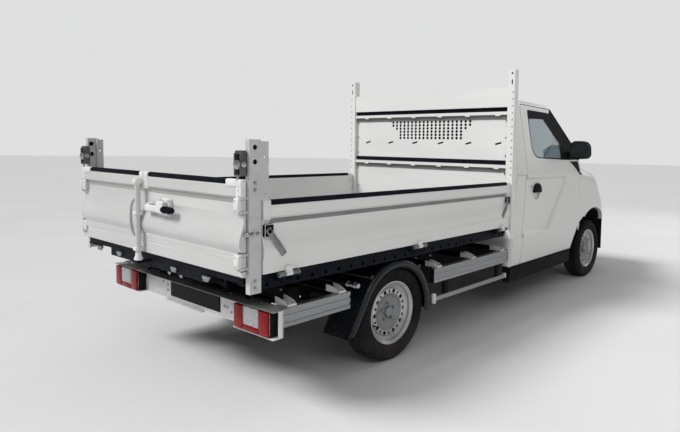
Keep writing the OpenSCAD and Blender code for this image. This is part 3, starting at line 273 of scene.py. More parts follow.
clear_lens = lens("clear_lens", (0.86, 0.87, 0.88), (0.76, 0.77, 0.78), 0.06, 0.75, 40.0, "Y")
lamp_cover = lens("lamp_cover", (0.92, 0.93, 0.94), (0.86, 0.87, 0.88), 0.015, 0.95)
seat_cloth = woven("seat_cloth", (0.05, 0.051, 0.055), (0.014, 0.014, 0.016))
seat_side_cloth = woven("seat_side_cloth", (0.026, 0.026, 0.028), (0.01, 0.01, 0.011))


# Making pieces

WASHER = 2


def shown(name, bm, look, smooth=None):
    """A bmesh as an object with one finish or several, shaded smooth up to an angle if asked."""
    mesh = bpy.data.meshes.new(name)
    bm.to_mesh(mesh)
    bm.free()
    for one in look if isinstance(look, (list, tuple)) else (look,):
        mesh.materials.append(one)
    if smooth:
        mesh.shade_smooth()
        mesh.set_sharp_from_angle(angle=math.radians(smooth))
    made = bpy.data.objects.new(name, mesh)
    scene.collection.objects.link(made)
    return made


def piece(name, bm, look, body="chassis", smooth=38, soften=0.0, merge=0.0):
    """Ends a bmesh as a named piece that rides a body, with its edges softened if asked."""
    if merge:
        bmesh.ops.remove_doubles(bm, verts=bm.verts, dist=merge)
    bmesh.ops.recalc_face_normals(bm, faces=bm.faces)
    made = shown(name, bm, look, smooth)
    if soften:
        soft_edges(made, soften)
    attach(made, body)
    return made


def soft_edges(made, width, angle=32):
    """Rounds the sharp edges a little, so that they catch the light."""
    bevel = made.modifiers.new("soft edges", "BEVEL")
    bevel.width = width / 1000
    bevel.segments = 2
    bevel.limit_method = "ANGLE"
    bevel.angle_limit = math.radians(angle)
    bevel.harden_normals = False
    weighted = made.modifiers.new("even shading", "WEIGHTED_NORMAL")
    weighted.keep_sharp = True


def dressed(node, look, soften=1.5, smooth=32, shape=None):
    """A copy of a solid with merged faces, softened edges and its finish, in the solid's place."""
    bm = bmesh.new()
    bm.from_mesh(nodes[node].data)
    bmesh.ops.remove_doubles(bm, verts=bm.verts, dist=0.00002)
    bmesh.ops.dissolve_limit(bm, angle_limit=math.radians(0.05), verts=bm.verts, edges=bm.edges)
    if shape:
        shape(bm)
    made = shown(node + "_dressed", bm, look, smooth)
    if soften:
        soft_edges(made, soften, smooth)
    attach(made, body_of[node])
    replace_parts(made, node)
    return made


def added(bm, make):
    """Runs a step that adds to the bmesh, and gives the vertices that it added."""
    before = set(bm.verts)
    make()
    return [v for v in bm.verts if v not in before]


def cut(bm, place, way, **rest):
    """Cuts the faces along a plane."""
    bmesh.ops.bisect_plane(bm, geom=bm.verts[:] + bm.edges[:] + bm.faces[:], plane_co=place, plane_no=way,
                           **rest)


def thicken(bm, faces, step):
    """Gives faces a thickness along a step in metres."""
    grown = bmesh.ops.extrude_face_region(bm, geom=faces)["geom"]
    bmesh.ops.translate(bm, verts=[v for v in grown if isinstance(v, bmesh.types.BMVert)], vec=step)


def slab(bm, corner, opposite, rounding=0.0, segments=2):
    """A block between two corners in any order, in millimetres from the rear axle, with rounded edges."""
    low, high = at(*map(min, corner, opposite)), at(*map(max, corner, opposite))

    def make():
        made = bmesh.ops.create_cube(bm, size=1)["verts"]
        bmesh.ops.scale(bm, vec=high - low, verts=made)
        bmesh.ops.translate(bm, vec=(low + high) / 2, verts=made)
        if rounding:
            edges = list({e for v in made for e in v.link_edges})
            bmesh.ops.bevel(bm, geom=edges, offset=rounding / 1000, offset_type="OFFSET", segments=segments,
                            profile=0.5, affect="EDGES", material=-1, clamp_overlap=True)
    return added(bm, make)


def bar(bm, start, end, radius, sides=16, tip=None, rounding=0.0):
    """A round bar between two places, in millimetres from the rear axle; six sides make a hexagon."""
    start, end = at(*start), at(*end)
    along = end - start

    def make():
        made = bmesh.ops.create_cone(bm, cap_ends=True, segments=sides, radius1=radius / 1000,
                                     radius2=(radius if tip is None else tip) / 1000,
                                     depth=along.length)["verts"]
        bmesh.ops.transform(bm, verts=made, matrix=Matrix.Translation((start + end) / 2)
                            @ along.to_track_quat("Z", "Y").to_matrix().to_4x4())
        if rounding:
            ends = list({f for v in made for f in v.link_faces if len(f.verts) == sides})
            edges = list({e for f in ends for e in f.edges})
            bmesh.ops.bevel(bm, geom=edges, offset=rounding / 1000, offset_type="OFFSET", segments=2,
                            profile=0.5, affect="EDGES", material=-1, clamp_overlap=True)
    return added(bm, make)


def block(name, look, corner, opposite, rounding=0.0, segments=2, body="chassis"):
    """A piece that is one slab."""
    bm = bmesh.new()
    slab(bm, corner, opposite, rounding, segments)
    return piece(name, bm, look, body)


def bolt(bm, place, along, across=9.0, height=7.0):
    """A hexagon head on its washer."""
    reach = Vector(along)
    seat = Vector(place) + WASHER * reach
    bar(bm, place, seat, across * 1.15, 16)
    bar(bm, seat, Vector(place) + (WASHER + height) * reach, across * 0.8, 6, rounding=0.8)


def turned(bm, outline, centre, axis, steps=48):
    """A shape turned around an axis from an outline of [radius, place along the axis] in millimetres."""
    axis = Vector(axis).normalized()
    across = axis.orthogonal().normalized()
    middle = at(*centre)

    def make():
        chain = [bm.verts.new(middle + axis * (a / 1000) + across * (r / 1000)) for r, a in outline]
        edges = [bm.edges.new(pair) for pair in zip(chain, chain[1:])]
        bmesh.ops.spin(bm, geom=chain + edges, cent=middle, axis=axis, angle=math.tau, steps=steps,
                       use_merge=True)
        bmesh.ops.remove_doubles(bm, verts=[v for v in bm.verts if v.is_valid], dist=0.000004)
    return added(bm, make)


def turn(bm, verts, centre, axis, degrees):
    bmesh.ops.rotate(bm, verts=verts, cent=at(*centre),
                     matrix=Matrix.Rotation(math.radians(degrees), 3, axis))


def tube(name, points, radius, look, body="chassis", sides=4):
    """A bent tube through a few places."""
    curve = bpy.data.curves.new(name, "CURVE")
    curve.dimensions = "3D"
    curve.bevel_depth = radius / 1000
    curve.bevel_resolution = sides
    curve.use_fill_caps = True
    spline = curve.splines.new("BEZIER")
    spline.bezier_points.add(len(points) - 1)
    for knot, place in zip(spline.bezier_points, points):
        knot.co = at(*place)
        knot.handle_left_type = knot.handle_right_type = "AUTO"
    spline.resolution_u = 8
    shaped = bpy.data.objects.new(name + "_path", curve)
    scene.collection.objects.link(shaped)
    mesh = bpy.data.meshes.new_from_object(shaped.evaluated_get(bpy.context.evaluated_depsgraph_get()))
    bpy.data.objects.remove(shaped)
    bpy.data.curves.remove(curve)
    bm = bmesh.new()
    bm.from_mesh(mesh)
    bpy.data.meshes.remove(mesh)
    return piece(name, bm, look, body, merge=0.00001)


# Solids and the forms changed on them

def dark_edges(bm):
    """The load floor's edges and underside are painted like its frame."""
    for face in bm.faces:
        if face.normal.z < 0.5:
            face.material_index = 1


def widen(bm, axis, radius, factor):
    """Opens the small round holes along an axis a little and gives their walls the second, dark finish as
    painted shade inside the holes.
    """
    walls = {f for f in bm.faces if abs(f.normal[axis]) < 0.12 and f.calc_area() < 0.0004}
    while walls:
        group, edge = set(), [walls.pop()]
        while edge:
            face = edge.pop()
            group.add(face)
            near = {other for v in face.verts for other in v.link_faces} & walls
            walls -= near
            edge += near
        verts = {v for f in group for v in f.verts}
        middle = sum((v.co for v in verts), Vector()) / len(verts)
        away = [v.co - middle for v in verts]
        for step in away:
            step[axis] = 0
        spread = [step.length * 1000 for step in away]
        if max(spread) > radius or max(spread) - min(spread) > 0.8:
            continue
        for v, step in zip(verts, away):
            v.co += step * (factor - 1)
        # Dark walls: painted shade inside the holes.
        for face in group:
            face.material_index = 1


def dark_arch(bm):
    """The bumper's lower edge and the sides that face the wheels are unpainted."""
    for face in bm.faces:
        middle = face.calc_center_median()
        if face.normal.x < -0.2 or face.normal.z < -0.5 or middle.z < 0.36:
            face.material_index = 1


def short_rear_beam(bm):
    """The rear beam under the load floor ends inside the posts."""
    for v in bm.verts:
        if v.co.x * 1000 + MIDDLE < REAR_BEAM_FRONT and abs(v.co.y) > 0.8:
            v.co.y = math.copysign(REAR_BEAM_HALF / 1000, v.co.y)


def tapered_ends(bm):
    """The side beams rise towards their rear ends."""
    cut(bm, at(TAPER_START, 0, 0), (1, 0, 0))
    for v in bm.verts:
        if v.co.x * 1000 + MIDDLE < TAPER_START - 10 and v.co.z < 0.69:
            v.co.z += TAPER_RISE


REAR_BEAM_FRONT = -1080
REAR_BEAM_HALF = 560
TAPER_START = -1040
TAPER_RISE = 0.036
GATE_LOW = 757
GATE_OUT, GATE_IN = -1190, -1166
# Outline of a gate leaf: [height above its lower edge, how far it stands out of the rim's plane]
GATE_SWELL = [(40, -4), (96, -4), (108, -2.8), (118, 1), (134, 8), (150, 13), (164, 14.5), (180, 12.5),
              (200, 6.5), (224, -2), (250, -9.5), (276, -13.2), (304, -14)]
HINGE_PLATE = (836, 106)
LEVER_END = -312


def swelled(bm):
    """A gate leaf curves out to a soft ridge and back in; the lever on it ends in its grip."""
    first, last = GATE_SWELL[0][0], GATE_SWELL[-1][0]
    for height in range(first, last + 1, 8):
        cut(bm, at(0, 0, GATE_LOW + height), (0, 0, 1))
    for v in bm.verts:
        height = v.co.z * 1000 - GATE_LOW
        x = v.co.x * 1000 + MIDDLE
        if x < GATE_OUT - 14 and v.co.y * 1000 < LEVER_END:
            v.co.y = LEVER_END / 1000
        on_plate = abs(v.co.y) * 1000 > HINGE_PLATE[0] and height < HINGE_PLATE[1]
        if first <= height <= last and GATE_OUT - 6 < x < GATE_OUT + 17 and not on_plate:
            for (low, out_low), (high, out_high) in zip(GATE_SWELL, GATE_SWELL[1:]):
                if low <= height <= high:
                    out = out_low + (out_high - out_low) * (height - low) / (high - low)
                    v.co.x = at(GATE_OUT - out, 0, 0).x


def dress_solids():
    """Every solid that stays in view gets its finish, and some a changed form."""
    looks = {
        cab_white: ["cab_rear_wall", "cab_roof", "bonnet", "front_wings"],
        board_white: ["dropside_left", "dropside_right"],
        post_grey: ["rear_posts"],
        frame_navy: ["bed_frame", "tipper_subframe"],
        chassis_and_shade_black: ["chassis_frame", "front_subframe", "rear_axle", "battery_and_motor", "front_carrier",
                        "cab_floor"],
        cast_iron: ["knuckle_left", "knuckle_right"],
        grained_black: ["front_grille", "sills_and_liners", "mirror_left", "mirror_right"],
        guard_black: ["mudguards"],
        trim_grey: ["dashboard"],
        rail_aluminium: ["side_rails"],
        zinc_steel: ["ram_barrel"],
        chromed_rod: ["ram_sleeve", "ram_rod"],
    }
    soften = {"rear_posts": 2.0, "side_rails": 1.2, "front_grille": 1.0}
    for look, names in looks.items():
        for node in names:
            dressed(node, look, soften.get(node, 1.5))
    for node in ("door_left", "door_right", "cab_sides"):
        dressed(node, (cab_white, grained_black), 1.5, shape=cab_side_shape)
    for node in ("gate_left", "gate_right"):
        dressed(node, gate_shaded_white, 1.5, shape=swelled)
    dressed("bed_floor", (load_plate, frame_navy), 1.0, shape=dark_edges)
    # The second finishes of the headboard and the rims darken the walls of their small holes as painted
    # shade.
    dressed("headboard", (board_white, rubber_and_shade_black), 1.5, shape=lambda bm: widen(bm, 0, 11, 1.25))
    for node in ("rim_front_left", "rim_front_right", "rim_rear_left", "rim_rear_right"):
        dressed(node, (rim_silver, chassis_and_shade_black), 1.2, shape=lambda bm: widen(bm, 1, 12, 1.25))
    dressed("front_bumper", (cab_white, grained_black), 1.5, shape=dark_arch)
    dressed("bed_cross_beams", frame_navy, 1.5, shape=short_rear_beam)
    dressed("bed_side_beams", frame_navy, 1.5, shape=tapered_ends)
    for node in ("cab_glass", "door_glass_left", "door_glass_right"):
        dressed(node, cab_glass_tint, 0.6)
    dressed("headlamps", lamp_cover, 1.0)


# Wheels

# Outboard half of the tyre's outline, from the bead to the tread's middle: [radius, distance from mid-plane]
TYRE_HALF = [(192, 62), (206, 64), (211, 76), (218, 82), (221, 84.5), (224, 84.5), (227, 86.5), (240, 91.5),
             (254, 93.8), (262, 93.8), (272, 92.2), (274, 93), (278, 92.6), (281, 90.6), (290, 86.5),
             (297, 80.5), (301.5, 73), (304.5, 67), (305, 66), (305, 42), (299, 41), (299, 37), (305, 36),
             (305, 15), (299, 14), (299, 10), (305, 9)]
TREAD_BASE = 305
TREAD_HEIGHT = 6
TREAD_GAP = 2.2
TREAD_BLOCKS = 84
RIM_FACE = 26
BOLT_RING = 57


def road_wheel(end, x, side, hand):
    """Tyre with its tread blocks, and the bolts, centre cover, cap and valve on the rim."""
    body = f"wheel_{end}_{hand}"
    centre = (x, side * TRACK_HALF, WHEEL_Z)
    out = (0, side, 0)
    bm = bmesh.new()
    turned(bm, TYRE_HALF + [(r, -a) for r, a in reversed(TYRE_HALF)] + TYRE_HALF[:1], centre, out,
           TREAD_BLOCKS)
    hub = at(*centre)
    bm.normal_update()
    ribs = []
    for face in bm.faces:
        off = face.calc_center_median() - hub
        radius = math.hypot(off.x, off.z) * 1000
        if abs(radius - TREAD_BASE) < 0.9 and abs(face.normal.y) < 0.02:
            ribs.append(face)
    bmesh.ops.recalc_face_normals(bm, faces=bm.faces)
    bmesh.ops.inset_individual(bm, faces=ribs, thickness=TREAD_GAP / 1000, depth=TREAD_HEIGHT / 1000,
                               use_even_offset=True)
    tyre = piece(f"road_tyre_{end}_{hand}", bm, tyre_rubber, body, smooth=34)
    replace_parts(tyre, f"tyre_{end}_{hand}")
    face_y = side * (TRACK_HALF + RIM_FACE)
    bm = bmesh.new()
    turned(bm, [(36, 26), (36, 28.6), (98, 28.6), (104, 31.5), (120, 42.6), (122, 42)], centre, out, 64)
    piece(f"centre_cover_{end}_{hand}", bm, hub_grey, body)
    bm = bmesh.new()
    turned(bm, [(112, 16), (112, 18), (140, 33), (166, 33), (166, 31), (141, 31), (112, 16)], centre, out, 48)
    piece(f"vent_shade_{end}_{hand}", bm, chassis_and_shade_black, body)
    bm = bmesh.new()
    for k in range(5):
        angle = math.radians(90 + 72 * k)
        bolt(bm, (x + BOLT_RING * math.cos(angle), face_y + side * 1.5,
                  WHEEL_Z + BOLT_RING * math.sin(angle)), out,
             12, 13)
    piece(f"wheel_bolts_{end}_{hand}", bm, hub_grey, body)
    bm = bmesh.new()
    turned(bm, [(35, 26), (35, 44), (33, 49), (26, 52), (12, 53.5), (0, 53.5)], centre, out, 32)
    piece(f"hub_cap_{end}_{hand}", bm, hub_grey, body)
    bm = bmesh.new()
    foot, neck, tip = ((x - back, side * (TRACK_HALF + reach), WHEEL_Z - drop)
                       for back, reach, drop in ((150, 40, 62), (148, 58, 60), (147.5, 66, 59.5)))
    bar(bm, foot, neck, 5, 12, 4)
    bar(bm, neck, tip, 4.5, 10, rounding=1)
    piece(f"valve_{end}_{hand}", bm, rubber_and_shade_black, body)


# Dropsides and gate

GATE_TOP = 1209
GATE_ENDS = {1: (54, 902), -1: (-902, 46)}
SIDE_TOP = 1107
SIDE_ENDS = (-1080, 1325)
SIDE_OUT = 920
BOARD_THICK = 24
CAP_LONG = 44
OUTER_CAP = 128
RIM_DEEP = 80
BOARD_SINK = 14
RIM_SHADOW_END = 46
HINGE_Z = (830, 1100)
FOLD_X = (-930, 142.5, 1215)
FOLD_Y, FOLD_Z = 925, 742
LATCH_Z = 968
POST_OUT = 919


def board_edges():
    """Rubber buffers along the tops of the boards, between white end caps, and grey strips under their rims
    that are painted shadow.
    """
    for side, hand in SIDES:
        low, high = GATE_ENDS[side]
        body = f"gate_{hand}"
        left, right = (OUTER_CAP, CAP_LONG) if side < 0 else (CAP_LONG, OUTER_CAP)
        block(f"gate_buffer_{hand}", rubber_and_shade_black, (GATE_OUT - 2, low + left, GATE_TOP - 16),
              (GATE_IN + 2, high - right, GATE_TOP + 14), 12, 5, body)
        bm = bmesh.new()
        for y, long in ((low, left), (high - right, right)):
            slab(bm, (GATE_OUT - 5, y - 1.6, GATE_TOP - 26), (GATE_IN + 5, y + long + 1.6, GATE_TOP + 14), 10,
                 4)
            inner = high - CAP_LONG if y > low else low
            slab(bm, (GATE_OUT - 3, inner - 1, GATE_TOP - 84),
                 (GATE_IN + 3, inner + CAP_LONG + 1, GATE_TOP + 12), 6, 3)
            for z in (GATE_TOP - 64, GATE_TOP - 36):
                bolt(bm, (GATE_OUT - 3, inner + CAP_LONG / 2, z), (-1, 0, 0), 5, 2.5)
        piece(f"gate_end_caps_{hand}", bm, fitting_and_sunlit_white, body)
        # The grey strip under the gate's rim is painted shadow.
        shadow_x, shadow_top = GATE_OUT + BOARD_SINK, GATE_TOP - RIM_DEEP
        block(f"gate_rim_shadow_{hand}", hood_and_shadow_grey, (shadow_x - 1.5, low + RIM_SHADOW_END, shadow_top - 20),
              (shadow_x + 1, high - RIM_SHADOW_END, shadow_top), 0.8, 1, body)
        body = f"dropside_{hand}"
        rear, front = SIDE_ENDS
        inner, outer = sorted((side * (SIDE_OUT - BOARD_THICK - 2), side * (SIDE_OUT + 2)))
        block(f"dropside_buffer_{hand}", rubber_and_shade_black, (rear + CAP_LONG, inner, SIDE_TOP - 16),
              (front - CAP_LONG, outer, SIDE_TOP + 14), 12, 5, body)
        bm = bmesh.new()
        for x in (rear, front - CAP_LONG):
            slab(bm, (x - 1, inner - 1, SIDE_TOP - 84), (x + CAP_LONG + 1, outer + 1, SIDE_TOP + 12), 6, 3)
        piece(f"dropside_end_caps_{hand}", bm, fitting_and_sunlit_white, body)
        # The dark grey strip under the dropside's rim is painted shadow.
        shadow_y, shadow_top = SIDE_OUT - BOARD_SINK, SIDE_TOP - RIM_DEEP
        block(f"dropside_rim_shadow_{hand}", grey_painted_shade, (rear + RIM_SHADOW_END, side * (shadow_y - 1), shadow_top - 24),
              (front - RIM_SHADOW_END, side * (shadow_y + 1.5), shadow_top), 0.8, 1, body)


def gate_lock():
    """Foot, clamps and handle of the lock bar on the left leaf, the lever's grip and keeper on the right."""
    bar_x, bar_y, bar_r = -1216, 70.5, 15.5
    bm = bmesh.new()
    turned(bm, [(0, 712), (21, 712), (25, 717), (23, 726), (17, 738), (bar_r + 0.4, 756)], (bar_x, bar_y, 0),
           (0, 0, 1), 28)
    turned(bm, [(bar_r + 0.4, 1148), (21, 1154), (22, 1170), (18, 1186), (0, 1192)], (bar_x, bar_y, 0),
           (0, 0, 1), 28)
    for z in (777, 983, 1163):
        slab(bm, (bar_x - 20, bar_y - 15, z - 11), (bar_x + 22, bar_y + 27, z + 11), 5, 3)
        bolt(bm, (bar_x - 2, bar_y + 27, z), (0, 1, 0), 7, 5)
    piece("lock_bar_clamps", bm, fitting_and_sunlit_white, "gate_left")
    tube("lock_bar_handle", [(bar_x - 4, bar_y + 16, 1066), (bar_x - 14, bar_y + 34, 1040),
                             (bar_x - 18, bar_y + 44, 980), (bar_x - 16, bar_y + 40, 900),
                             (bar_x - 10, bar_y + 28, 862), (bar_x - 2, bar_y + 14, 846)],
         7, zinc_steel, "gate_left")
    grip_x, grip_z = -1218, 1028
    bm = bmesh.new()
    bar(bm, (grip_x, -220, grip_z), (grip_x, -320, grip_z), 18, 24, 16, rounding=6)
    for y in range(-234, -308, -13):
        turned(bm, [(15, -3), (18.8, -2), (18.8, 2), (15, 3)], (grip_x, y, grip_z), (0, 1, 0), 24)
    piece("lever_grip", bm, rubber_and_shade_black, "gate_right")
    bm = bmesh.new()
    slab(bm, (-1196, -246, 990), (GATE_OUT + 18, -136, 1084), 5, 3)
    for y, z in ((-236, 998), (-236, 1076), (-146, 998), (-146, 1076)):
        bolt(bm, (-1196, y, z), (-1, 0, 0), 6, 4)
    slab(bm, (-1224, -224, 1003), (-1190, -154, 1069), 7, 3)
    slab(bm, (-1222, -214, 1006), (-1206, -18, 1042), 6, 3)
    slab(bm, (-1210, -40, 998), (GATE_OUT + 12, -14, 1050), 5, 3)
    bar(bm, (-1210, -176, 1066), (-1210, -176, 1090), 8, 16, rounding=2)
    bar(bm, (-1210, -206, 1066), (-1210, -206, 1082), 6, 16, rounding=2)
    piece("lever_keeper", bm, fitting_and_sunlit_white, "gate_right")


def side_latches():
    """Paddle latches at the ends of the dropsides, and the dark housings behind them."""
    for side, hand in SIDES:
        for end, x, lean in (("rear", -1051, 36), ("front", 1296, -36)):
            z = LATCH_Z
            bm = bmesh.new()
            made = slab(bm, (x - 17, side * (SIDE_OUT + 2), z - 118),
                        (x + 17, side * (SIDE_OUT + 12), z + 17), 7, 3)
            made += slab(bm, (x - 18, side * (SIDE_OUT + 1), z - 154),
                         (x + 18, side * (SIDE_OUT + 14), z - 64), 10, 3)
            turn(bm, made, (x, side * SIDE_OUT, z), "Y", -lean)
            piece(f"latch_paddle_{end}_{hand}", bm, dark_zinc, f"dropside_{hand}")
            bm = bmesh.new()
            slab(bm, (x - 27, side * (SIDE_OUT - 15), z - 29), (x + 27, side * (SIDE_OUT + 9), z + 35), 6, 3)
            bolt(bm, (x, side * (SIDE_OUT + 12), z), (0, side, 0), 9, 6)
            piece(f"latch_housing_{end}_{hand}", bm, frame_navy, f"dropside_{hand}")


def fold_hinges():
    """Zinc hinge pins along the feet of the dropsides."""
    for side, hand in SIDES:
        bm = bmesh.new()
        for x in FOLD_X:
            for start, end, radius in ((-66, 66, 11.6), (-66, -52, 14), (52, 66, 14)):
                bar(bm, (x + start, side * FOLD_Y, FOLD_Z), (x + end, side * FOLD_Y, FOLD_Z), radius, 20,
                    rounding=3)
        piece(f"fold_pins_{hand}", bm, dark_zinc, "bed")


def post_fittings():
    """Claws, pins, eyes and bolts on the rear posts, and the pin heads of the gate hinges."""
    for side, hand in SIDES:
        bm = bmesh.new()
        for inner in (849, 896):
            slab(bm, (-1198, side * inner, 1238), (-1157, side * (inner + 10), 1347), 9, 3)
        slab(bm, (-1168, side * 849, 1238), (-1157, side * 906, 1347), 4, 2)
        slab(bm, (-1192, side * 849, 1340), (-1160, side * 906, 1358), 6, 2)
        piece(f"gate_claw_{hand}", bm, claw_steel, "bed")
        bm = bmesh.new()
        bar(bm, (-1180, side * 842, 1292.5), (-1180, side * 912, 1292.5), 14, 20, rounding=3)
        turned(bm, [(0, 9), (15, 8.5), (22, 5), (24, 0), (23, -7), (18, -10), (0, -10)],
               (-1198, side * 878, 1292), (-1, 0, 0), 28)
        bar(bm, (-1190, side * 872, 1246), (-1190, side * 872, 1214), 6, 12, rounding=2)
        piece(f"claw_pin_{hand}", bm, zinc_steel, "bed")
        bm = bmesh.new()
        for z in HINGE_Z:
            for lift in (-1, 1):
                turned(bm, [(0, 6), (7, 5), (11, 2), (11, 0), (7.2, 0)], (-1185, side * 892, z + lift * 39),
                       (0, 0, lift), 20)
        piece(f"gate_hinge_pins_{hand}", bm, zinc_steel, "bed")
        bm = bmesh.new()
        for z in HINGE_Z:
            slab(bm, (GATE_OUT - 9, side * 846, z - 34), (GATE_OUT + 12, side * 886, z + 34), 7, 3)
            bar(bm, (GATE_OUT - 5, side * 884, z - 32), (GATE_OUT - 5, side * 884, z + 32), 12, 20,
                rounding=4)
            for lift in (-22, 22):
                bolt(bm, (GATE_OUT - 9, side * 860, z + lift), (-1, 0, 0), 5, 3)
        piece(f"gate_hinge_castings_{hand}", bm, fitting_and_sunlit_white, f"gate_{hand}")
        # Dark discs behind the two holes high on each post: painted shade in the holes.
        bm = bmesh.new()
        for z in (1305, 1374):
            bar(bm, (-1125.5, side * 909.6, z), (-1125.5, side * 912.6, z), 14, 24, rounding=0.6)
        piece(f"post_hole_shade_{hand}", bm, rubber_and_shade_black, "bed")
        bm = bmesh.new()
        for z in (700, 735, 1172, 1205):
            bolt(bm, (-1126, side * POST_OUT, z), (0, side, 0), 9, 6)
        for x in (-1140, -1110):
            bolt(bm, (x, side * POST_OUT, 963), (0, side, 0), 11, 9)
        turned(bm, [(8, -9), (8, 9), (17, 9), (19, 5), (19, -5), (17, -9), (8, -9)], (-1164, side * 905, 962),
               (0, 0, 1), 24)
        piece(f"post_bolts_{hand}", bm, zinc_steel, "bed")


def headboard_fittings():
    """Dark sheets in the slots over the ledges and behind the vents and grey strips under the ledges, all
    painted shade, and the bolts that hold the panels to the posts.
    """
    bm = bmesh.new()
    # Dark sheets in the slots over the ledges: painted shade.
    for low, high in ((1257, 1293), (1696, 1730)):
        slab(bm, (1365, -866, low), (1369.8, 866, high), 1.5)
    piece("ledge_slot_shade", bm, rubber_and_shade_black, "bed")
    bm = bmesh.new()
    # Grey strips under the ledges: painted shadow.
    for high in (1229, 1668):
        slab(bm, (1366.5, -866, high - 38), (1369.8, 866, high), 1)
    piece("ledge_shadow_strips", bm, grey_painted_shade, "bed")
    bm = bmesh.new()
    # A dark sheet behind the vents: painted shade in the holes.
    slab(bm, (1376.3, -560, 1444), (1379.5, 460, 1668), 1)
    slab(bm, (1376.3, -840, 1415), (1379.5, 840, 1446), 1)
    piece("vent_hole_shade", bm, rubber_and_shade_black, "bed")
    bm = bmesh.new()
    for side in BOTH:
        for z in (780, 1000, 1180, 1330, 1480, 1620, 1760, 1860):
            bolt(bm, (1369.6, side * 846, z), (-1, 0, 0), 7, 4)
    piece("headboard_bolts", bm, zinc_steel, "bed")


# Rear beam and lamps

LAMP_Y = (552, 858)
LAMP_Z = (405, 540)
LENS_SPLIT = (636, 772)
LENS_FOOT = 438
LENS_GAP = 1.5
LENS_X = (-1007, -998)
WEB_X = -943


def rear_lights():
    """Lamp housings, lenses in three parts over bright bowls, the blank plate and the beam's bolts."""
    bottom, top = LAMP_Z
    lens_face, lens_back = LENS_X
    for side, hand in SIDES:
        bm = bmesh.new()
        slab(bm, (-992, side * LAMP_Y[0], bottom), (WEB_X, side * LAMP_Y[1], top), 8, 3)
        for y in LENS_SPLIT:
            slab(bm, (-1004, side * (y - LENS_GAP), bottom + 5), (-988, side * (y + LENS_GAP), top - 5), 0.6,
                 1)
        housing = piece(f"lamp_housing_{hand}", bm, grained_black)
        if hand == "left":
            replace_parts(housing, "tail_lamps")
        for part, (a, b), look in (("inner", (LAMP_Y[0] + 3, LENS_SPLIT[0] - LENS_GAP), red_lens),
                                   ("middle", (LENS_SPLIT[0] + LENS_GAP, LENS_SPLIT[1] - LENS_GAP),
                                    clear_lens),
                                   ("outer", (LENS_SPLIT[1] + LENS_GAP, LAMP_Y[1] - 3), red_lens)):
            low, high = sorted((side * a, side * b))
            foot = LENS_FOOT if part == "middle" else bottom + 3
            block(f"lamp_lens_{part}_{hand}", look, (lens_face, low, foot), (lens_back, high, top - 3), 4, 3)
            if part == "middle":
                block(f"lamp_lens_foot_{hand}", red_lens, (lens_face, low, bottom + 3),
                      (lens_back, high, LENS_FOOT - 2), 4, 3)
            bm = bmesh.new()
            slab(bm, (-994, low + 3, bottom + 9), (-992.2, high - 3, top - 9), 0.6, 1)
            for z in ((446, 500) if part == "middle" else (472,)):
                turned(bm, [(26, -997.5), (20, -996), (8, -994.4), (8, -997), (0, -997.6)],
                       (0, (low + high) / 2, z), (1, 0, 0), 24)
            piece(f"lamp_bowl_{part}_{hand}", bm, lamp_bowl)
    block("number_plate_holder", grained_black, (-947, -330, 423), (-943.2, 222, 533), 3, 2)
    block("number_plate_blank", plate_black, (-949, -326, 427), (-947, 218, 529), 0.8, 1)
    bm = bmesh.new()
    for y, z in ((262, 486), (262, 452), (320, 500), (-372, 468), (-398, 468), (-440, 446)):
        bolt(bm, (WEB_X, y, z), (-1, 0, 0), 7, 5)
    for y in (-700, -420, 400, 560, 820):
        bolt(bm, (-930, y, 545), (0, 0, 1), 8, 6)
    piece("beam_bolts", bm, zinc_steel)


def rear_hydraulics():
    """Couplings, pipes and hooks between the beam and the body."""
    bm = bmesh.new()
    for y in (180, 40):
        bar(bm, (-968, y, 586), (-910, y, 590), 15, 18, rounding=2)
        bar(bm, (-980, y, 585), (-966, y, 586), 19, 18, rounding=3)
        bar(bm, (-930, y, 589), (-900, y, 591), 11, 6)
    slab(bm, (-915, 10, 545), (-903, 210, 612), 3, 2)
    piece("oil_couplings", bm, zinc_steel)
    for number, y in enumerate((180, 40)):
        inner = 170 - 50 * number
        tube(f"oil_pipe_{number}", [(-900, y, 591), (-840, y + 10, 606), (-760, y + 40, 590),
                                    (-640, inner + 20, 566), (-420, inner, 500), (-345, inner, 350)], 9,
             rubber_and_shade_black)
    bm = bmesh.new()
    for y in (-560, -240, 420, 700):
        slab(bm, (-1178, y - 26, 694), (-1158, y + 26, 712), 4, 2)
        bar(bm, (-1170, y - 20, 690), (-1170, y + 20, 690), 8, 14, rounding=2)
    piece("body_hooks", bm, zinc_steel, "bed")
    tube("lamp_conduit", [(-946, 560, 470), (-932, 520, 555), (-920, 420, 556), (-915, 120, 556),
                          (-918, -300, 556), (-922, -560, 556), (-946, -600, 480)], 6, rubber_and_shade_black)


# Beam, guards and side rails

BEAM_Y = 890
RAIL_Y = (846, 884)
RAIL_Z = (450, 550)
BRACKET_X = (-870, -510, 430, 873, 1310)
STAY_X, STAY_Z = -363, 560
GUARD_LIP = 345
GUARD_LAST = 148
FLAP_X, FLAP_Z = -434, 262


def lamp_beam():
    """The channel that holds the lamps: web, hood over the lamps, lips under them and short end plates."""
    bm = bmesh.new()
    slab(bm, (WEB_X, -838, 400), (-900, 838, 541), 4, 2)
    slab(bm, (WEB_X, -BEAM_Y, 400), (-937, BEAM_Y, 541), 1.5, 2)
    slab(bm, (-967, -160, 392), (-938, 262, 400.5), 2, 2)
    for side in BOTH:
        slab(bm, (-1001, side * 538, 400), (-940, side * BEAM_Y, 404), 1.5, 2)
        slab(bm, (-966, side * 884, 400), (-936, side * BEAM_Y, 545), 2, 2)
    beam = piece("lamp_beam", bm, fitting_and_sunlit_white)
    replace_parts(beam, "rear_beam")
    block("lamp_hood", hood_and_shadow_grey, (-1001, -BEAM_Y, 541), (-900, BEAM_Y, 545), 1.5, 2)


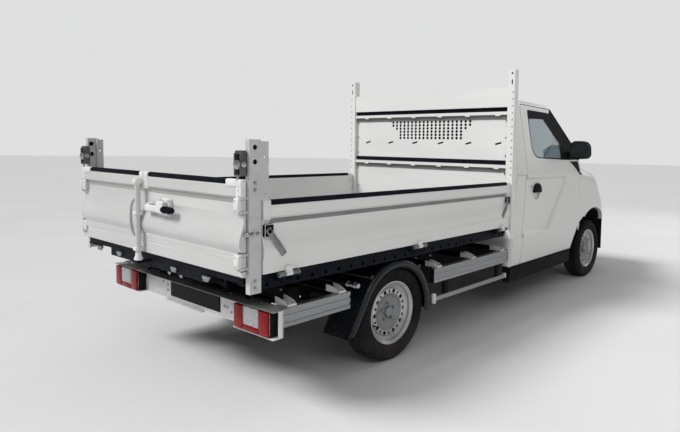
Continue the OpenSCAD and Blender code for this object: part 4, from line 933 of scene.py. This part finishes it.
def rail_fittings():
    """Rear ends of the rails beside the beam, and the rail brackets: black arms that are painted shade, white
    outer shoes that are painted sunlight.
    """
    inner, outer = RAIL_Y
    bm = bmesh.new()
    for side in BOTH:
        slab(bm, (-936, side * inner, RAIL_Z[0]), (-899.8, side * (outer - 4), RAIL_Z[1]), 1.5, 2)
        for bottom, top in ((RAIL_Z[0], 472), (488, 512), (528, RAIL_Z[1])):
            slab(bm, (-936, side * (outer - 6), bottom), (-899.8, side * outer, top), 1, 1)
    piece("rail_starts", bm, rail_aluminium)
    corners = [(772, 560), (872, 560), (858, 572), (800, 588), (772, 590)]
    arms, shoes = bmesh.new(), bmesh.new()
    for side in BOTH:
        for x in BRACKET_X:
            slab(arms, (x - 26, side * 395, 550), (x + 26, side * 790, 559), 2, 2)
            slab(arms, (x - 3, side * 395, 558), (x + 3, side * 790, 582), 2, 2)
            slab(shoes, (x - 30, side * 770, 550), (x + 30, side * 880, 562), 3, 2)
            for off in (-30, 25):
                rim = [shoes.verts.new(at(x + off, side * y, z)) for y, z in corners]
                thicken(shoes, [shoes.faces.new(rim)], (0.005, 0, 0))
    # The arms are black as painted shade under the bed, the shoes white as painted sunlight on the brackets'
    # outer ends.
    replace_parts(piece("rail_bracket_arms_shade", arms, chassis_and_shade_black), "rail_brackets")
    piece("rail_bracket_ends_sunlit", shoes, fitting_and_sunlit_white, soften=1.0)


def guard_edges():
    """Rolled edges and stays of the mudguards, and caps, bolts and hangers of the side rails."""
    skirt = [(349, 826), (353, 846), (351, 858), (344, 866), (332, 870), (318, 870), (306, 866), (298, 858),
             (296, 852), (300, 850), (310, 856), (322, 859), (334, 858), (340, 852), (341, 840), (341, 826)]
    for side, hand in SIDES:
        bm = bmesh.new()
        rows = []
        for degrees in range(-8, GUARD_LAST + 4, 4):
            angle = math.radians(degrees)
            rows.append([bm.verts.new(at(r * math.cos(angle), side * y, WHEEL_Z + r * math.sin(angle)))
                         for r, y in skirt])
        angle = math.radians(GUARD_LAST)
        for share in (0.25, 0.5, 0.75, 1.0):
            rows.append([bm.verts.new(at(
                (1 - share) * r * math.cos(angle) + share * (FLAP_X + (350 - r)), side * y,
                (1 - share) * (WHEEL_Z + r * math.sin(angle)) + share * FLAP_Z)) for r, y in skirt])
        for one, two in zip(rows, rows[1:]):
            for k in range(len(skirt)):
                n = (k + 1) % len(skirt)
                bm.faces.new((one[k], one[n], two[n], two[k]))
        bm.faces.new(rows[0])
        bm.faces.new(rows[-1])
        piece(f"guard_skirt_{hand}", bm, guard_black, smooth=50)
        angles = [math.radians(d) for d in range(-6, 147, 8)]
        points = [(GUARD_LIP * math.cos(a), side * 642, WHEEL_Z + GUARD_LIP * math.sin(a)) for a in angles]
        points.append((FLAP_X, side * 642, FLAP_Z))
        tube(f"guard_lip_{hand}", points, 5.5, guard_black, "chassis", 3)
        bm = bmesh.new()
        bar(bm, (STAY_X, side * 396, 558), (STAY_X, side * 770, STAY_Z), 12, 20)
        piece(f"guard_stay_{hand}", bm, chassis_and_shade_black)
        bm = bmesh.new()
        bar(bm, (STAY_X, side * 760, STAY_Z), (STAY_X, side * 862, STAY_Z), 15, 20, rounding=3)
        for y in (768, 826):
            bar(bm, (STAY_X, side * y, STAY_Z), (STAY_X, side * (y + 12), STAY_Z), 18, 20, rounding=2)
        piece(f"stay_sleeve_{hand}", bm, zinc_steel)
        bm = bmesh.new()
        for x in (-452, 362, 1385):
            reach = -5 if x == 362 else 5
            slab(bm, (x, side * RAIL_Y[0], RAIL_Z[0] - 2), (x + reach, side * RAIL_Y[1], RAIL_Z[1] + 2), 2, 2)
        piece(f"rail_end_caps_{hand}", bm, grained_black)
        bm = bmesh.new()
        for x in BRACKET_X:
            for off in (-16, 16):
                bolt(bm, (x + off, side * 866, 564), (0, 0, 1), 7, 5)
        piece(f"rail_bolts_{hand}", bm, zinc_steel)
        bm = bmesh.new()
        for x in (520, 1250):
            slab(bm, (x - 24, side * 850, 346), (x + 24, side * 878, 452), 4, 2)
        piece(f"bar_hangers_{hand}", bm, grained_black)
        bm = bmesh.new()
        bar(bm, (383, side * 866, 300), (383, side * 866, 372), 17, 20, rounding=6)
        bar(bm, (1366, side * 866, 316), (1366, side * 866, 354), 17, 20, rounding=6)
        piece(f"bar_ends_{hand}", bm, fitting_and_sunlit_white)


# Cab outside

PRESS_CORNERS = [(-1760, 650), (-1140, 634), (-722, 1132), (-1760, 1146)]
PRESS_SLOPE = 0.018
PRESS_DEEPER = 0.012


def in_press(x, z):
    """Whether a place seen from the side lies in the pressed panel."""
    inside = False
    for (x0, z0), (x1, z1) in zip(PRESS_CORNERS, PRESS_CORNERS[1:] + PRESS_CORNERS[:1]):
        if (z0 > z) != (z1 > z) and x < x0 + (z - z0) * (x1 - x0) / (z1 - z0):
            inside = not inside
    return inside


def ease_press(bm):
    """Deepens the pressed panel in the cab's side and slopes its walls."""
    moves, floor = {}, set()
    for face in bm.faces:
        middle = face.calc_center_median()
        x, z = middle.x * 1000 + MIDDLE - FRONT_AXLE, middle.z * 1000
        out = math.copysign(1, middle.y)
        depths = [abs(v.co.y) for v in face.verts]
        if min(depths) < 0.84 or not (-1780 < x < -690 and 610 < z < 1165):
            continue
        if face.normal.y * out > 0.8 and in_press(x, z):
            floor |= set(face.verts)
        elif abs(face.normal.y) < 0.35 and max(depths) - min(depths) < 0.0125:
            for v in face.verts:
                if abs(v.co.y) < min(depths) + 0.003:
                    moves.setdefault(v, []).append(face.normal.copy())
    for v in floor:
        v.co.y -= math.copysign(PRESS_DEEPER, v.co.y)
    for v, normals in moves.items():
        way = sum(normals, Vector())
        way.y = 0
        if way.length > 0.1:
            v.co += way.normalized() * PRESS_SLOPE


PILLAR_BAND = 170
SCREEN_SILL = 1286


def dark_pillar(bm):
    """The front pillar beside the windscreen and the door's frame behind it are dark."""
    along = Vector((815, 0, -610)).normalized()
    corner = cab_at(-1010, 0, 1745)
    cut(bm, corner, along)
    cut(bm, cab_at(0, 0, SCREEN_SILL), (0, 0, 1))
    top = cab_at(-965, 0, 1842)
    for face in bm.faces:
        middle = face.calc_center_median()
        off = middle - top
        below = -(off.x * -along.z + off.z * along.x) * 1000
        if (middle - corner).dot(along) > 0 and middle.z > SCREEN_SILL / 1000 and below < PILLAR_BAND:
            face.material_index = 1


def cab_side_shape(bm):
    """What the doors and the cab's sides have in common."""
    ease_press(bm)
    dark_pillar(bm)


SCREEN_FOOT, SCREEN_TOP = (-150, 1232), (-965, 1842)
SCREEN_TILT = math.atan2(SCREEN_TOP[1] - SCREEN_FOOT[1], SCREEN_FOOT[0] - SCREEN_TOP[0])
SCREEN_BEND = 5000


def on_screen(y, z, lift=0.0):
    """A place on the curved windscreen, from the middle plane and the height it would have there."""
    x = SCREEN_FOOT[0] - (z - SCREEN_FOOT[1]) / math.tan(SCREEN_TILT)
    fall = y * y / (2 * SCREEN_BEND) - lift
    return (FRONT_AXLE + x - math.sin(SCREEN_TILT) * fall, y, z - math.cos(SCREEN_TILT) * fall)


def skin(names):
    """Some solids as one skin to lay trim on."""
    places, faces = [], []
    for name in names:
        solid = nodes[name]
        first = len(places)
        places += [solid.matrix_world @ v.co for v in solid.data.vertices]
        faces += [[first + k for k in f.vertices] for f in solid.data.polygons]
    return BVHTree.FromPolygons(places, faces)


def skin_y(tree, side, x, z):
    """How far out the skin lies at a place seen from the side, in metres."""
    place = tree.ray_cast(cab_at(x, side * 1200, z), Vector((0, -side, 0)))[0]
    return abs(place.y) if place else None


def pillar_trim(side, hand):
    """The dark corner piece under the mirror: one part on the door, one on the wing."""
    for name, body, names, rear, front in (
            ("door", f"cab_door_{hand}", [f"door_{hand}"], -700, -439),
            ("wing", "chassis", ["front_wings", "cab_sides", "bonnet"], -431, -300)):
        bm = bmesh.new()
        tree = skin(names)
        grid = []
        for row in range(19):
            share = row / 18
            z = 1276 - 139 * share
            left, right = -678 + 231 * share ** 0.8, -486 + 113 * share
            grid.append([])
            for column in range(25):
                x = left + (right - left) * column / 24
                y = skin_y(tree, side, x, z) if rear < x < front else None
                held = y and y > 0.7
                grid[-1].append(bm.verts.new(cab_at(x, side * (y * 1000 + 1.6), z)) if held else None)
        for one, two in zip(grid, grid[1:]):
            for k in range(24):
                corners = (one[k], one[k + 1], two[k + 1], two[k])
                if all(corners):
                    bm.faces.new(corners)
        bmesh.ops.delete(bm, geom=[v for v in bm.verts if not v.link_faces], context="VERTS")
        if not bm.faces:
            bm.free()
            continue
        thicken(bm, bm.faces[:], (0, -side * 0.0022, 0))
        piece(f"pillar_trim_{name}_{hand}", bm, grained_black, body)


def cab_fittings():
    """Seals, wipers, mirror glass, handles and locks on the cab."""
    edge = ([(-700 + 140 * k, 1272) for k in range(11)] + [(760 - 24 * k, 1330 + 110 * k) for k in range(4)]
            + [(650 - 130 * k, 1806) for k in range(11)]
            + [(-685 - 25 * k, 1680 - 110 * k) for k in range(4)])
    tube("screen_seal", [on_screen(y, z, 1) for y, z in edge] + [on_screen(-700, 1272, 1)], 8, rubber_and_shade_black)
    rear = FRONT_AXLE - 1835
    pane = [(-440, 1330), (0, 1328), (440, 1330), (468, 1360), (432, 1660), (405, 1690), (0, 1692),
            (-405, 1690), (-432, 1660), (-468, 1360), (-440, 1330)]
    tube("rear_pane_seal", [(rear + 3, y, z) for y, z in pane], 9, rubber_and_shade_black)
    for number, (foot, tip) in enumerate((((250, 1268), (-380, 1420)), ((-330, 1268), (-700, 1560)))):
        bm = bmesh.new()
        turned(bm, [(0, 22), (12, 20), (17, 8), (18, 0)], on_screen(*foot, 2),
               (math.sin(SCREEN_TILT), 0, math.cos(SCREEN_TILT)), 20)
        middle = ((foot[0] + tip[0]) / 2, (foot[1] + tip[1]) / 2)
        bar(bm, on_screen(*foot, 18), on_screen(*middle, 20), 7, 8, 4)
        piece(f"wiper_arm_{number}", bm, grained_black, soften=0.8)
        reach = (tip[0] - foot[0], tip[1] - foot[1])
        blade = [on_screen(middle[0] + reach[0] * k / 12, middle[1] + reach[1] * k / 12, 9)
                 for k in range(-5, 7)]
        tube(f"wiper_blade_{number}", blade, 6, rubber_and_shade_black, "chassis", 2)
    for side, hand in SIDES:
        pillar_trim(side, hand)
        body = f"cab_door_{hand}"
        block(f"mirror_glass_{hand}", silver_glass, (FRONT_AXLE - 742.5, side * 908, 1318),
              (FRONT_AXLE - 741, side * 1072, 1462), 0.6, 1, body)
        x, y, z = FRONT_AXLE - 1370, side * (CAB_HALF - 3), 1012
        bm = bmesh.new()
        turned(bm, [(70, -8), (70, 0), (67, 2.5), (60, 4), (0, 5)], (x, y, z), (0, side, 0), 48)
        cut(bm, at(x, y, z - 8), (0, 0, -1), clear_outer=True)
        bmesh.ops.holes_fill(bm, edges=[e for e in bm.edges if e.is_boundary])
        piece(f"door_handle_{hand}", bm, grained_black, body)
        block(f"door_lock_{hand}", zinc_steel, (x - 118, side * 875, z + 38), (x - 96, side * 880, z + 60), 6,
              3, body)


def nose_fittings():
    """Slats in the grille and in the intake, bowls in the headlamps and the blank front plate."""
    bm = bmesh.new()
    for k in range(7):
        z = 796 + 30 * k
        x = FRONT_AXLE + 734 - 0.62 * (z - 780)
        slab(bm, (x - 6, -472, z - 6), (x + 8, 472, z + 6), 4, 2)
    for z in (366, 396, 426):
        slab(bm, (FRONT_AXLE + 722, -402, z - 6), (FRONT_AXLE + 744, 402, z + 6), 4, 2)
    piece("grille_slats", bm, guard_black)
    front = skin(["front_bumper"]).ray_cast(at(4600, 0, 630), Vector((-1, 0, 0)))[0].x * 1000 + MIDDLE
    block("front_plate_holder", grained_black, (front - 6, -266, 572), (front + 2, 266, 690), 3, 2)
    block("front_plate_blank", plate_black, (front + 2, -260, 577), (front + 4, 260, 685), 0.8, 1)
    lamp = skin(["headlamps"])
    for side, hand in SIDES:
        bm = bmesh.new()
        for y, z, size in ((555, 960, 42), (640, 972, 36)):
            place = lamp.ray_cast(at(4600, side * y, z), Vector((-1, 0, 0)))[0]
            if place:
                middle = (place.x * 1000 + MIDDLE - 62, side * y, z)
                turned(bm, [(size, 30), (size * 0.95, 12), (size * 0.7, -8), (size * 0.3, -18),
                            (size * 0.3, 0), (0, 4)],
                       middle, (1, 0, 0.1), 32)
        piece(f"headlamp_bowls_{hand}", bm, lamp_bowl)


# Inside the cab

SEAT_X = FRONT_AXLE - 1430
SEAT_FLOOR = 592
SEATS = {"driver": (430, 520), "bench": (-330, 820)}
CLOTH_PRESSURE = 4
CLOTH_FRAMES = 20
CHANNEL_HALF = 0.014
CHANNEL_DEEP = 0.006


def stuffed(name, bm, look, body, swell, channels=(), voxel=0.009):
    made = shown(name, bm, look)
    remesh = made.modifiers.new("even mesh", "REMESH")
    remesh.mode = "VOXEL"
    remesh.voxel_size = voxel
    settle(made)
    rest = [v.co.copy() for v in made.data.vertices]
    cloth = made.modifiers.new("cloth", "CLOTH")
    cloth.settings.use_pressure = True
    cloth.settings.uniform_pressure_force = CLOTH_PRESSURE
    cloth.settings.effector_weights.gravity = 0
    cloth.point_cache.frame_end = CLOTH_FRAMES
    for step in range(1, CLOTH_FRAMES + 1):
        scene.frame_set(step)
    settle(made)
    for vertex, start in zip(made.data.vertices, rest):
        moved = vertex.co - start
        if moved.length > swell:
            vertex.co = start + moved * (swell / moved.length)
    scene.frame_set(1)
    smoother = made.modifiers.new("even skin", "SMOOTH")
    smoother.iterations = 4
    finer = made.modifiers.new("finer skin", "SUBSURF")
    finer.levels = finer.render_levels = 1
    settle(made)
    for axis, place in channels:
        for vertex in made.data.vertices:
            near = 1 - (abs(vertex.co[axis] - place) / CHANNEL_HALF) ** 2
            if near > 0:
                vertex.co -= vertex.normal * (CHANNEL_DEEP * near)
    made.data.shade_smooth()
    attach(made, body)
    return made


def settle(made):
    """Makes what the modifiers show the piece's own mesh."""
    shown = made.evaluated_get(bpy.context.evaluated_depsgraph_get())
    mesh = bpy.data.meshes.new_from_object(shown)
    made.modifiers.clear()
    made.data = mesh


def cushion(bm, low, high, crown):
    """A crowned block whose sides pull in a little between its corners."""
    slab(bm, low, high, 26, 3)
    edges = [e for e in bm.edges if e.calc_length() > 0.05]
    bmesh.ops.subdivide_edges(bm, edges=edges, cuts=6, use_grid_fill=True)
    low, high = at(*low), at(*high)
    middle, half = (low + high) / 2, (high - low) / 2
    for v in bm.verts:
        p = [(v.co[k] - middle[k]) / half[k] for k in range(3)]
        v.co.z += crown / 1000 * max(0, p[2]) * (1 - p[0] ** 2) * (1 - p[1] ** 2)
        v.co.x -= 0.006 * p[0] * (1 - p[1] ** 2)


def twin(made, name, shift, body):
    """A copy of a padded piece, moved sideways by a distance in millimetres."""
    bm = bmesh.new()
    bm.from_mesh(made.data)
    bmesh.ops.translate(bm, verts=bm.verts, vec=Vector((0, shift / 1000, 0)))
    copy = shown(name, bm, made.data.materials[0])
    copy.data.shade_smooth()
    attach(copy, body)


def cab_seats():
    """Padded seats on hard plinths, with head rests on stalks."""
    for name, (y, width) in SEATS.items():
        half = width / 2
        plinth = block(f"seat_plinth_{name}", trim_grey, (SEAT_X - 20, y - half + 20, SEAT_FLOOR + 1),
                       (SEAT_X + 430, y + half - 20, SEAT_FLOOR + 140), 12, 3)
        if name == "driver":
            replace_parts(plinth, "seats")
        places = (y,) if name == "driver" else (y + width / 4, y - width / 4)
        reach = half if name == "driver" else width / 4
        first = places[0]
        pads = {}
        bm = bmesh.new()
        cushion(bm, (SEAT_X + 4, first - reach + 10, SEAT_FLOOR + 146),
                (SEAT_X + 506, first + reach - 10, SEAT_FLOOR + 244), 14)
        sewn = [(1, at(0, first + off, 0).y) for off in (-0.55 * reach, 0.55 * reach)]
        pads["seat_cushion"] = stuffed(f"seat_cushion_{name}_0", bm, seat_cloth, "chassis", 0.012,
                                       sewn + [(0, at(SEAT_X + 330, 0, 0).x)])
        bm = bmesh.new()
        cushion(bm, (SEAT_X - 62, first - reach + 18, SEAT_FLOOR + 236),
                (SEAT_X + 48, first + reach - 18, SEAT_FLOOR + 792), 10)
        turn(bm, list(bm.verts), (SEAT_X + 50, first, SEAT_FLOOR + 240), "Y", -11.5)
        bmesh.ops.translate(bm, verts=bm.verts, vec=Vector((0.055, 0, 0)))
        pads["seat_back"] = stuffed(f"seat_back_{name}_0", bm, seat_cloth, "chassis", 0.012,
                                    sewn + [(2, (SEAT_FLOOR + 430) / 1000), (2, (SEAT_FLOOR + 650) / 1000)])
        bm = bmesh.new()
        cushion(bm, (SEAT_X - 116, first - 118, SEAT_FLOOR + 836),
                (SEAT_X - 40, first + 118, SEAT_FLOOR + 980), 8)
        pads["head_rest"] = stuffed(f"head_rest_{name}_0", bm, seat_side_cloth, "chassis", 0.008)
        for number, middle in enumerate(places):
            if number:
                for pad, made in pads.items():
                    twin(made, f"{pad}_{name}_{number}", middle - first, "chassis")
            bm = bmesh.new()
            for off in (-55, 55):
                bar(bm, (SEAT_X - 70, middle + off, SEAT_FLOOR + 770),
                    (SEAT_X - 76, middle + off, SEAT_FLOOR + 860), 6, 12)
            piece(f"head_rest_stalks_{name}_{number}", bm, zinc_steel)


def cab_controls():
    """Screen, vents, dials' hood, pedals, selector and belts."""
    x = FRONT_AXLE
    bm = bmesh.new()
    made = slab(bm, (x - 792, -120, 1040), (x - 770, 130, 1190), 8, 3)
    turn(bm, made, (x - 780, 0, 1115), "Y", 14)
    piece("centre_screen", bm, screen_black)
    block("dial_hood", trim_grey, (x - 790, 270, 1160), (x - 620, 590, 1262), 40, 4)
    block("dial_face", screen_black, (x - 792, 290, 1168), (x - 786, 570, 1246), 3, 2)
    bm = bmesh.new()
    for y in (-700, -260, 220, 690):
        for k in range(5):
            slab(bm, (x - 764, y - 60, 1092 + 13 * k), (x - 742, y + 60, 1098 + 13 * k), 1.5, 1)
    piece("air_vents", bm, grained_black)
    bm = bmesh.new()
    for y, high in ((330, 720), (480, 730)):
        slab(bm, (x - 590, y - 30, high - 60), (x - 578, y + 30, high + 40), 4, 2)
        bar(bm, (x - 584, y, high), (x - 520, y, high + 120), 8, 10)
    piece("pedals", bm, grained_black)
    bm = bmesh.new()
    turned(bm, [(0, 60), (22, 58), (28, 40), (24, 12), (34, 0), (34, -14)], (x - 820, 120, 960), (0, 0, 1),
           28)
    slab(bm, (x - 880, 70, 900), (x - 740, 170, 950), 10, 3)
    piece("drive_selector", bm, grained_black)
    for number, y in enumerate((690, -760)):
        bm = bmesh.new()
        run = [(x - 1480, y, 1500), (x - 1470, y * 0.985, 1300), (x - 1440, y * 0.97, 1000),
               (x - 1420, y * 0.96, 760), (x - 1410, y * 0.95, 660)]
        rows = [[bm.verts.new(at(px + off, py, pz)) for off in (-23, -12, 0, 12, 23)] for px, py, pz in run]
        faces = [bm.faces.new((one[k], one[k + 1], two[k + 1], two[k]))
                 for one, two in zip(rows, rows[1:]) for k in range(4)]
        thicken(bm, faces, (0, 0.0024, 0))
        slab(bm, (x - 1510, y - 14, 1486), (x - 1450, y + 16, 1530), 6, 3)
        slab(bm, (x - 1440, y * 0.95 - 16, 640), (x - 1380, y * 0.95 + 16, 690), 6, 3)
        piece(f"belt_{number}", bm, seat_side_cloth)


# Below

DRUM_RADIUS = 116


def underside():
    """Clips, dampers, drum ribs and brake pipes on the rear axle, the oil tank and the frame's rivets."""
    for side, hand in SIDES:
        bm = bmesh.new()
        for x in (-60, 60):
            for y in (424, 476):
                bar(bm, (x, side * y, 318), (x, side * y, 412), 8, 12)
                bar(bm, (x, side * y, 318), (x, side * y, 306), 13, 6)
        slab(bm, (-84, side * 412, 396), (84, side * 488, 408), 3, 2)
        piece(f"spring_clips_{hand}", bm, zinc_steel)
        bm = bmesh.new()
        bar(bm, (-40, side * 520, 300), (-150, side * 505, 470), 24, 20, rounding=4)
        bar(bm, (-110, side * 511, 408), (-190, side * 500, 532), 17, 20)
        piece(f"damper_{hand}", bm, chassis_and_shade_black)
        bm = bmesh.new()
        for a in range(0, 360, 30):
            angle = math.radians(a)
            x, z = DRUM_RADIUS * math.cos(angle), WHEEL_Z + DRUM_RADIUS * math.sin(angle)
            slab(bm, (x - 5, side * 676, z - 5), (x + 5, side * 744, z + 5), 2, 1)
        piece(f"drum_ribs_{hand}", bm, cast_iron)
        tube(f"brake_pipe_{hand}", [(46, side * 640, 330), (52, side * 560, 352), (48, side * 430, 360),
                                          (46, side * 200, 358), (46, side * 20, 362)], 4, zinc_steel,
             "chassis", 2)
    bm = bmesh.new()
    slab(bm, (180, 430, 330), (330, 620, 540), 14, 3)
    bar(bm, (255, 525, 540), (255, 525, 556), 28, 24, rounding=3)
    piece("oil_tank", bm, chassis_and_shade_black)
    bm = bmesh.new()
    for x in range(-760, 1300, 190):
        for side in BOTH:
            bolt(bm, (x, side * 400, 500), (0, side, 0), 9, 7)
    piece("rail_rivets", bm, zinc_steel)


# Studio

CAMERA_PLACE = (-2720, -3156, 1385)
CAMERA_ANGLES = (38.63, -4.02, 1.02)
CAMERA_LENS = 29.66
CAMERA_SHIFT = (-0.1094, -0.0425)
SUN_WAY = (5.4, -3.6, -6.8)
SUN_ENERGY = 3.0
SUN_ANGLE = 22
SKY_LIGHT = (0.28, 0.282, 0.282)
SKY_SEEN = (0.74, 0.742, 0.745)
FLOOR_RADIUS = 60


def camera_and_light():
    """The photograph's view, a soft sun with three lamps, a pale sky and a pale floor."""
    turn_left, tilt, roll = (math.radians(v) for v in CAMERA_ANGLES)
    ahead = Vector((math.cos(tilt) * math.cos(turn_left), math.cos(tilt) * math.sin(turn_left),
                    math.sin(tilt)))
    right = Vector((math.sin(turn_left), -math.cos(turn_left), 0))
    up = right.cross(ahead)
    right, up = right * math.cos(roll) + up * math.sin(roll), up * math.cos(roll) - right * math.sin(roll)
    camera = bpy.data.objects.new("camera", bpy.data.cameras.new("camera"))
    scene.collection.objects.link(camera)
    camera.matrix_world = Matrix.Translation(at(*CAMERA_PLACE)) @ Matrix(
        (right, up, -ahead)).transposed().to_4x4()
    camera.data.sensor_width = 36
    camera.data.lens = CAMERA_LENS
    camera.data.shift_x, camera.data.shift_y = CAMERA_SHIFT
    camera.data.clip_end = 200
    scene.camera = camera

    def soft_lamp(name, place, aim, size, watts):
        lamp = bpy.data.lights.new(name, "AREA")
        lamp.shape = "RECTANGLE"
        lamp.size, lamp.size_y = size
        lamp.energy = watts
        made = bpy.data.objects.new(name, lamp)
        scene.collection.objects.link(made)
        made.location = place
        made.rotation_euler = (Vector(aim) - Vector(place)).to_track_quat("-Z", "Y").to_euler()

    sun = bpy.data.objects.new("key", bpy.data.lights.new("key", "SUN"))
    sun.data.energy = SUN_ENERGY
    sun.data.angle = math.radians(SUN_ANGLE)
    sun.visible_glossy = False
    sun.rotation_euler = Vector(SUN_WAY).to_track_quat("-Z", "Y").to_euler()
    scene.collection.objects.link(sun)
    soft_lamp("overhead", (-0.5, -1.5, 8.0), (0, 0, 0), (8, 6), 45)
    soft_lamp("fill", (-5.5, -7.0, 6.5), (0.5, 0, 0.8), (4.5, 3.5), 150)
    soft_lamp("front", (8, -2, 4), (1, 0, 0.8), (5, 4), 60)
    world = bpy.data.worlds.new("studio")
    scene.world = world
    world.use_nodes = True
    tree = world.node_tree
    background = tree.nodes["Background"]
    path = tree.nodes.new("ShaderNodeLightPath")
    seen = tree.nodes.new("ShaderNodeMath")
    seen.operation = "MAXIMUM"
    tree.links.new(path.outputs["Is Camera Ray"], seen.inputs[0])
    tree.links.new(path.outputs["Is Transmission Ray"], seen.inputs[1])
    tree.links.new(mixed(tree, seen.outputs[0], SKY_LIGHT, SKY_SEEN), background.inputs["Color"])
    bm = bmesh.new()
    bmesh.ops.create_circle(bm, cap_ends=True, radius=FLOOR_RADIUS, segments=96)
    floor = shown("studio_floor", bm, finish("pale_floor", (0.70, 0.70, 0.702), (0.67, 0.67, 0.672), 0.7,
                                             drift=0.8, relief=0.1, relief_size=200))
    scene.view_settings.view_transform = "Standard"


dress_solids()
for end, x in (("front", FRONT_AXLE), ("rear", 0)):
    for side, hand in SIDES:
        road_wheel(end, x, side, hand)
board_edges()
gate_lock()
side_latches()
fold_hinges()
post_fittings()
headboard_fittings()
rear_lights()
rear_hydraulics()
lamp_beam()
rail_fittings()
guard_edges()
cab_fittings()
nose_fittings()
cab_seats()
cab_controls()
underside()
camera_and_light()
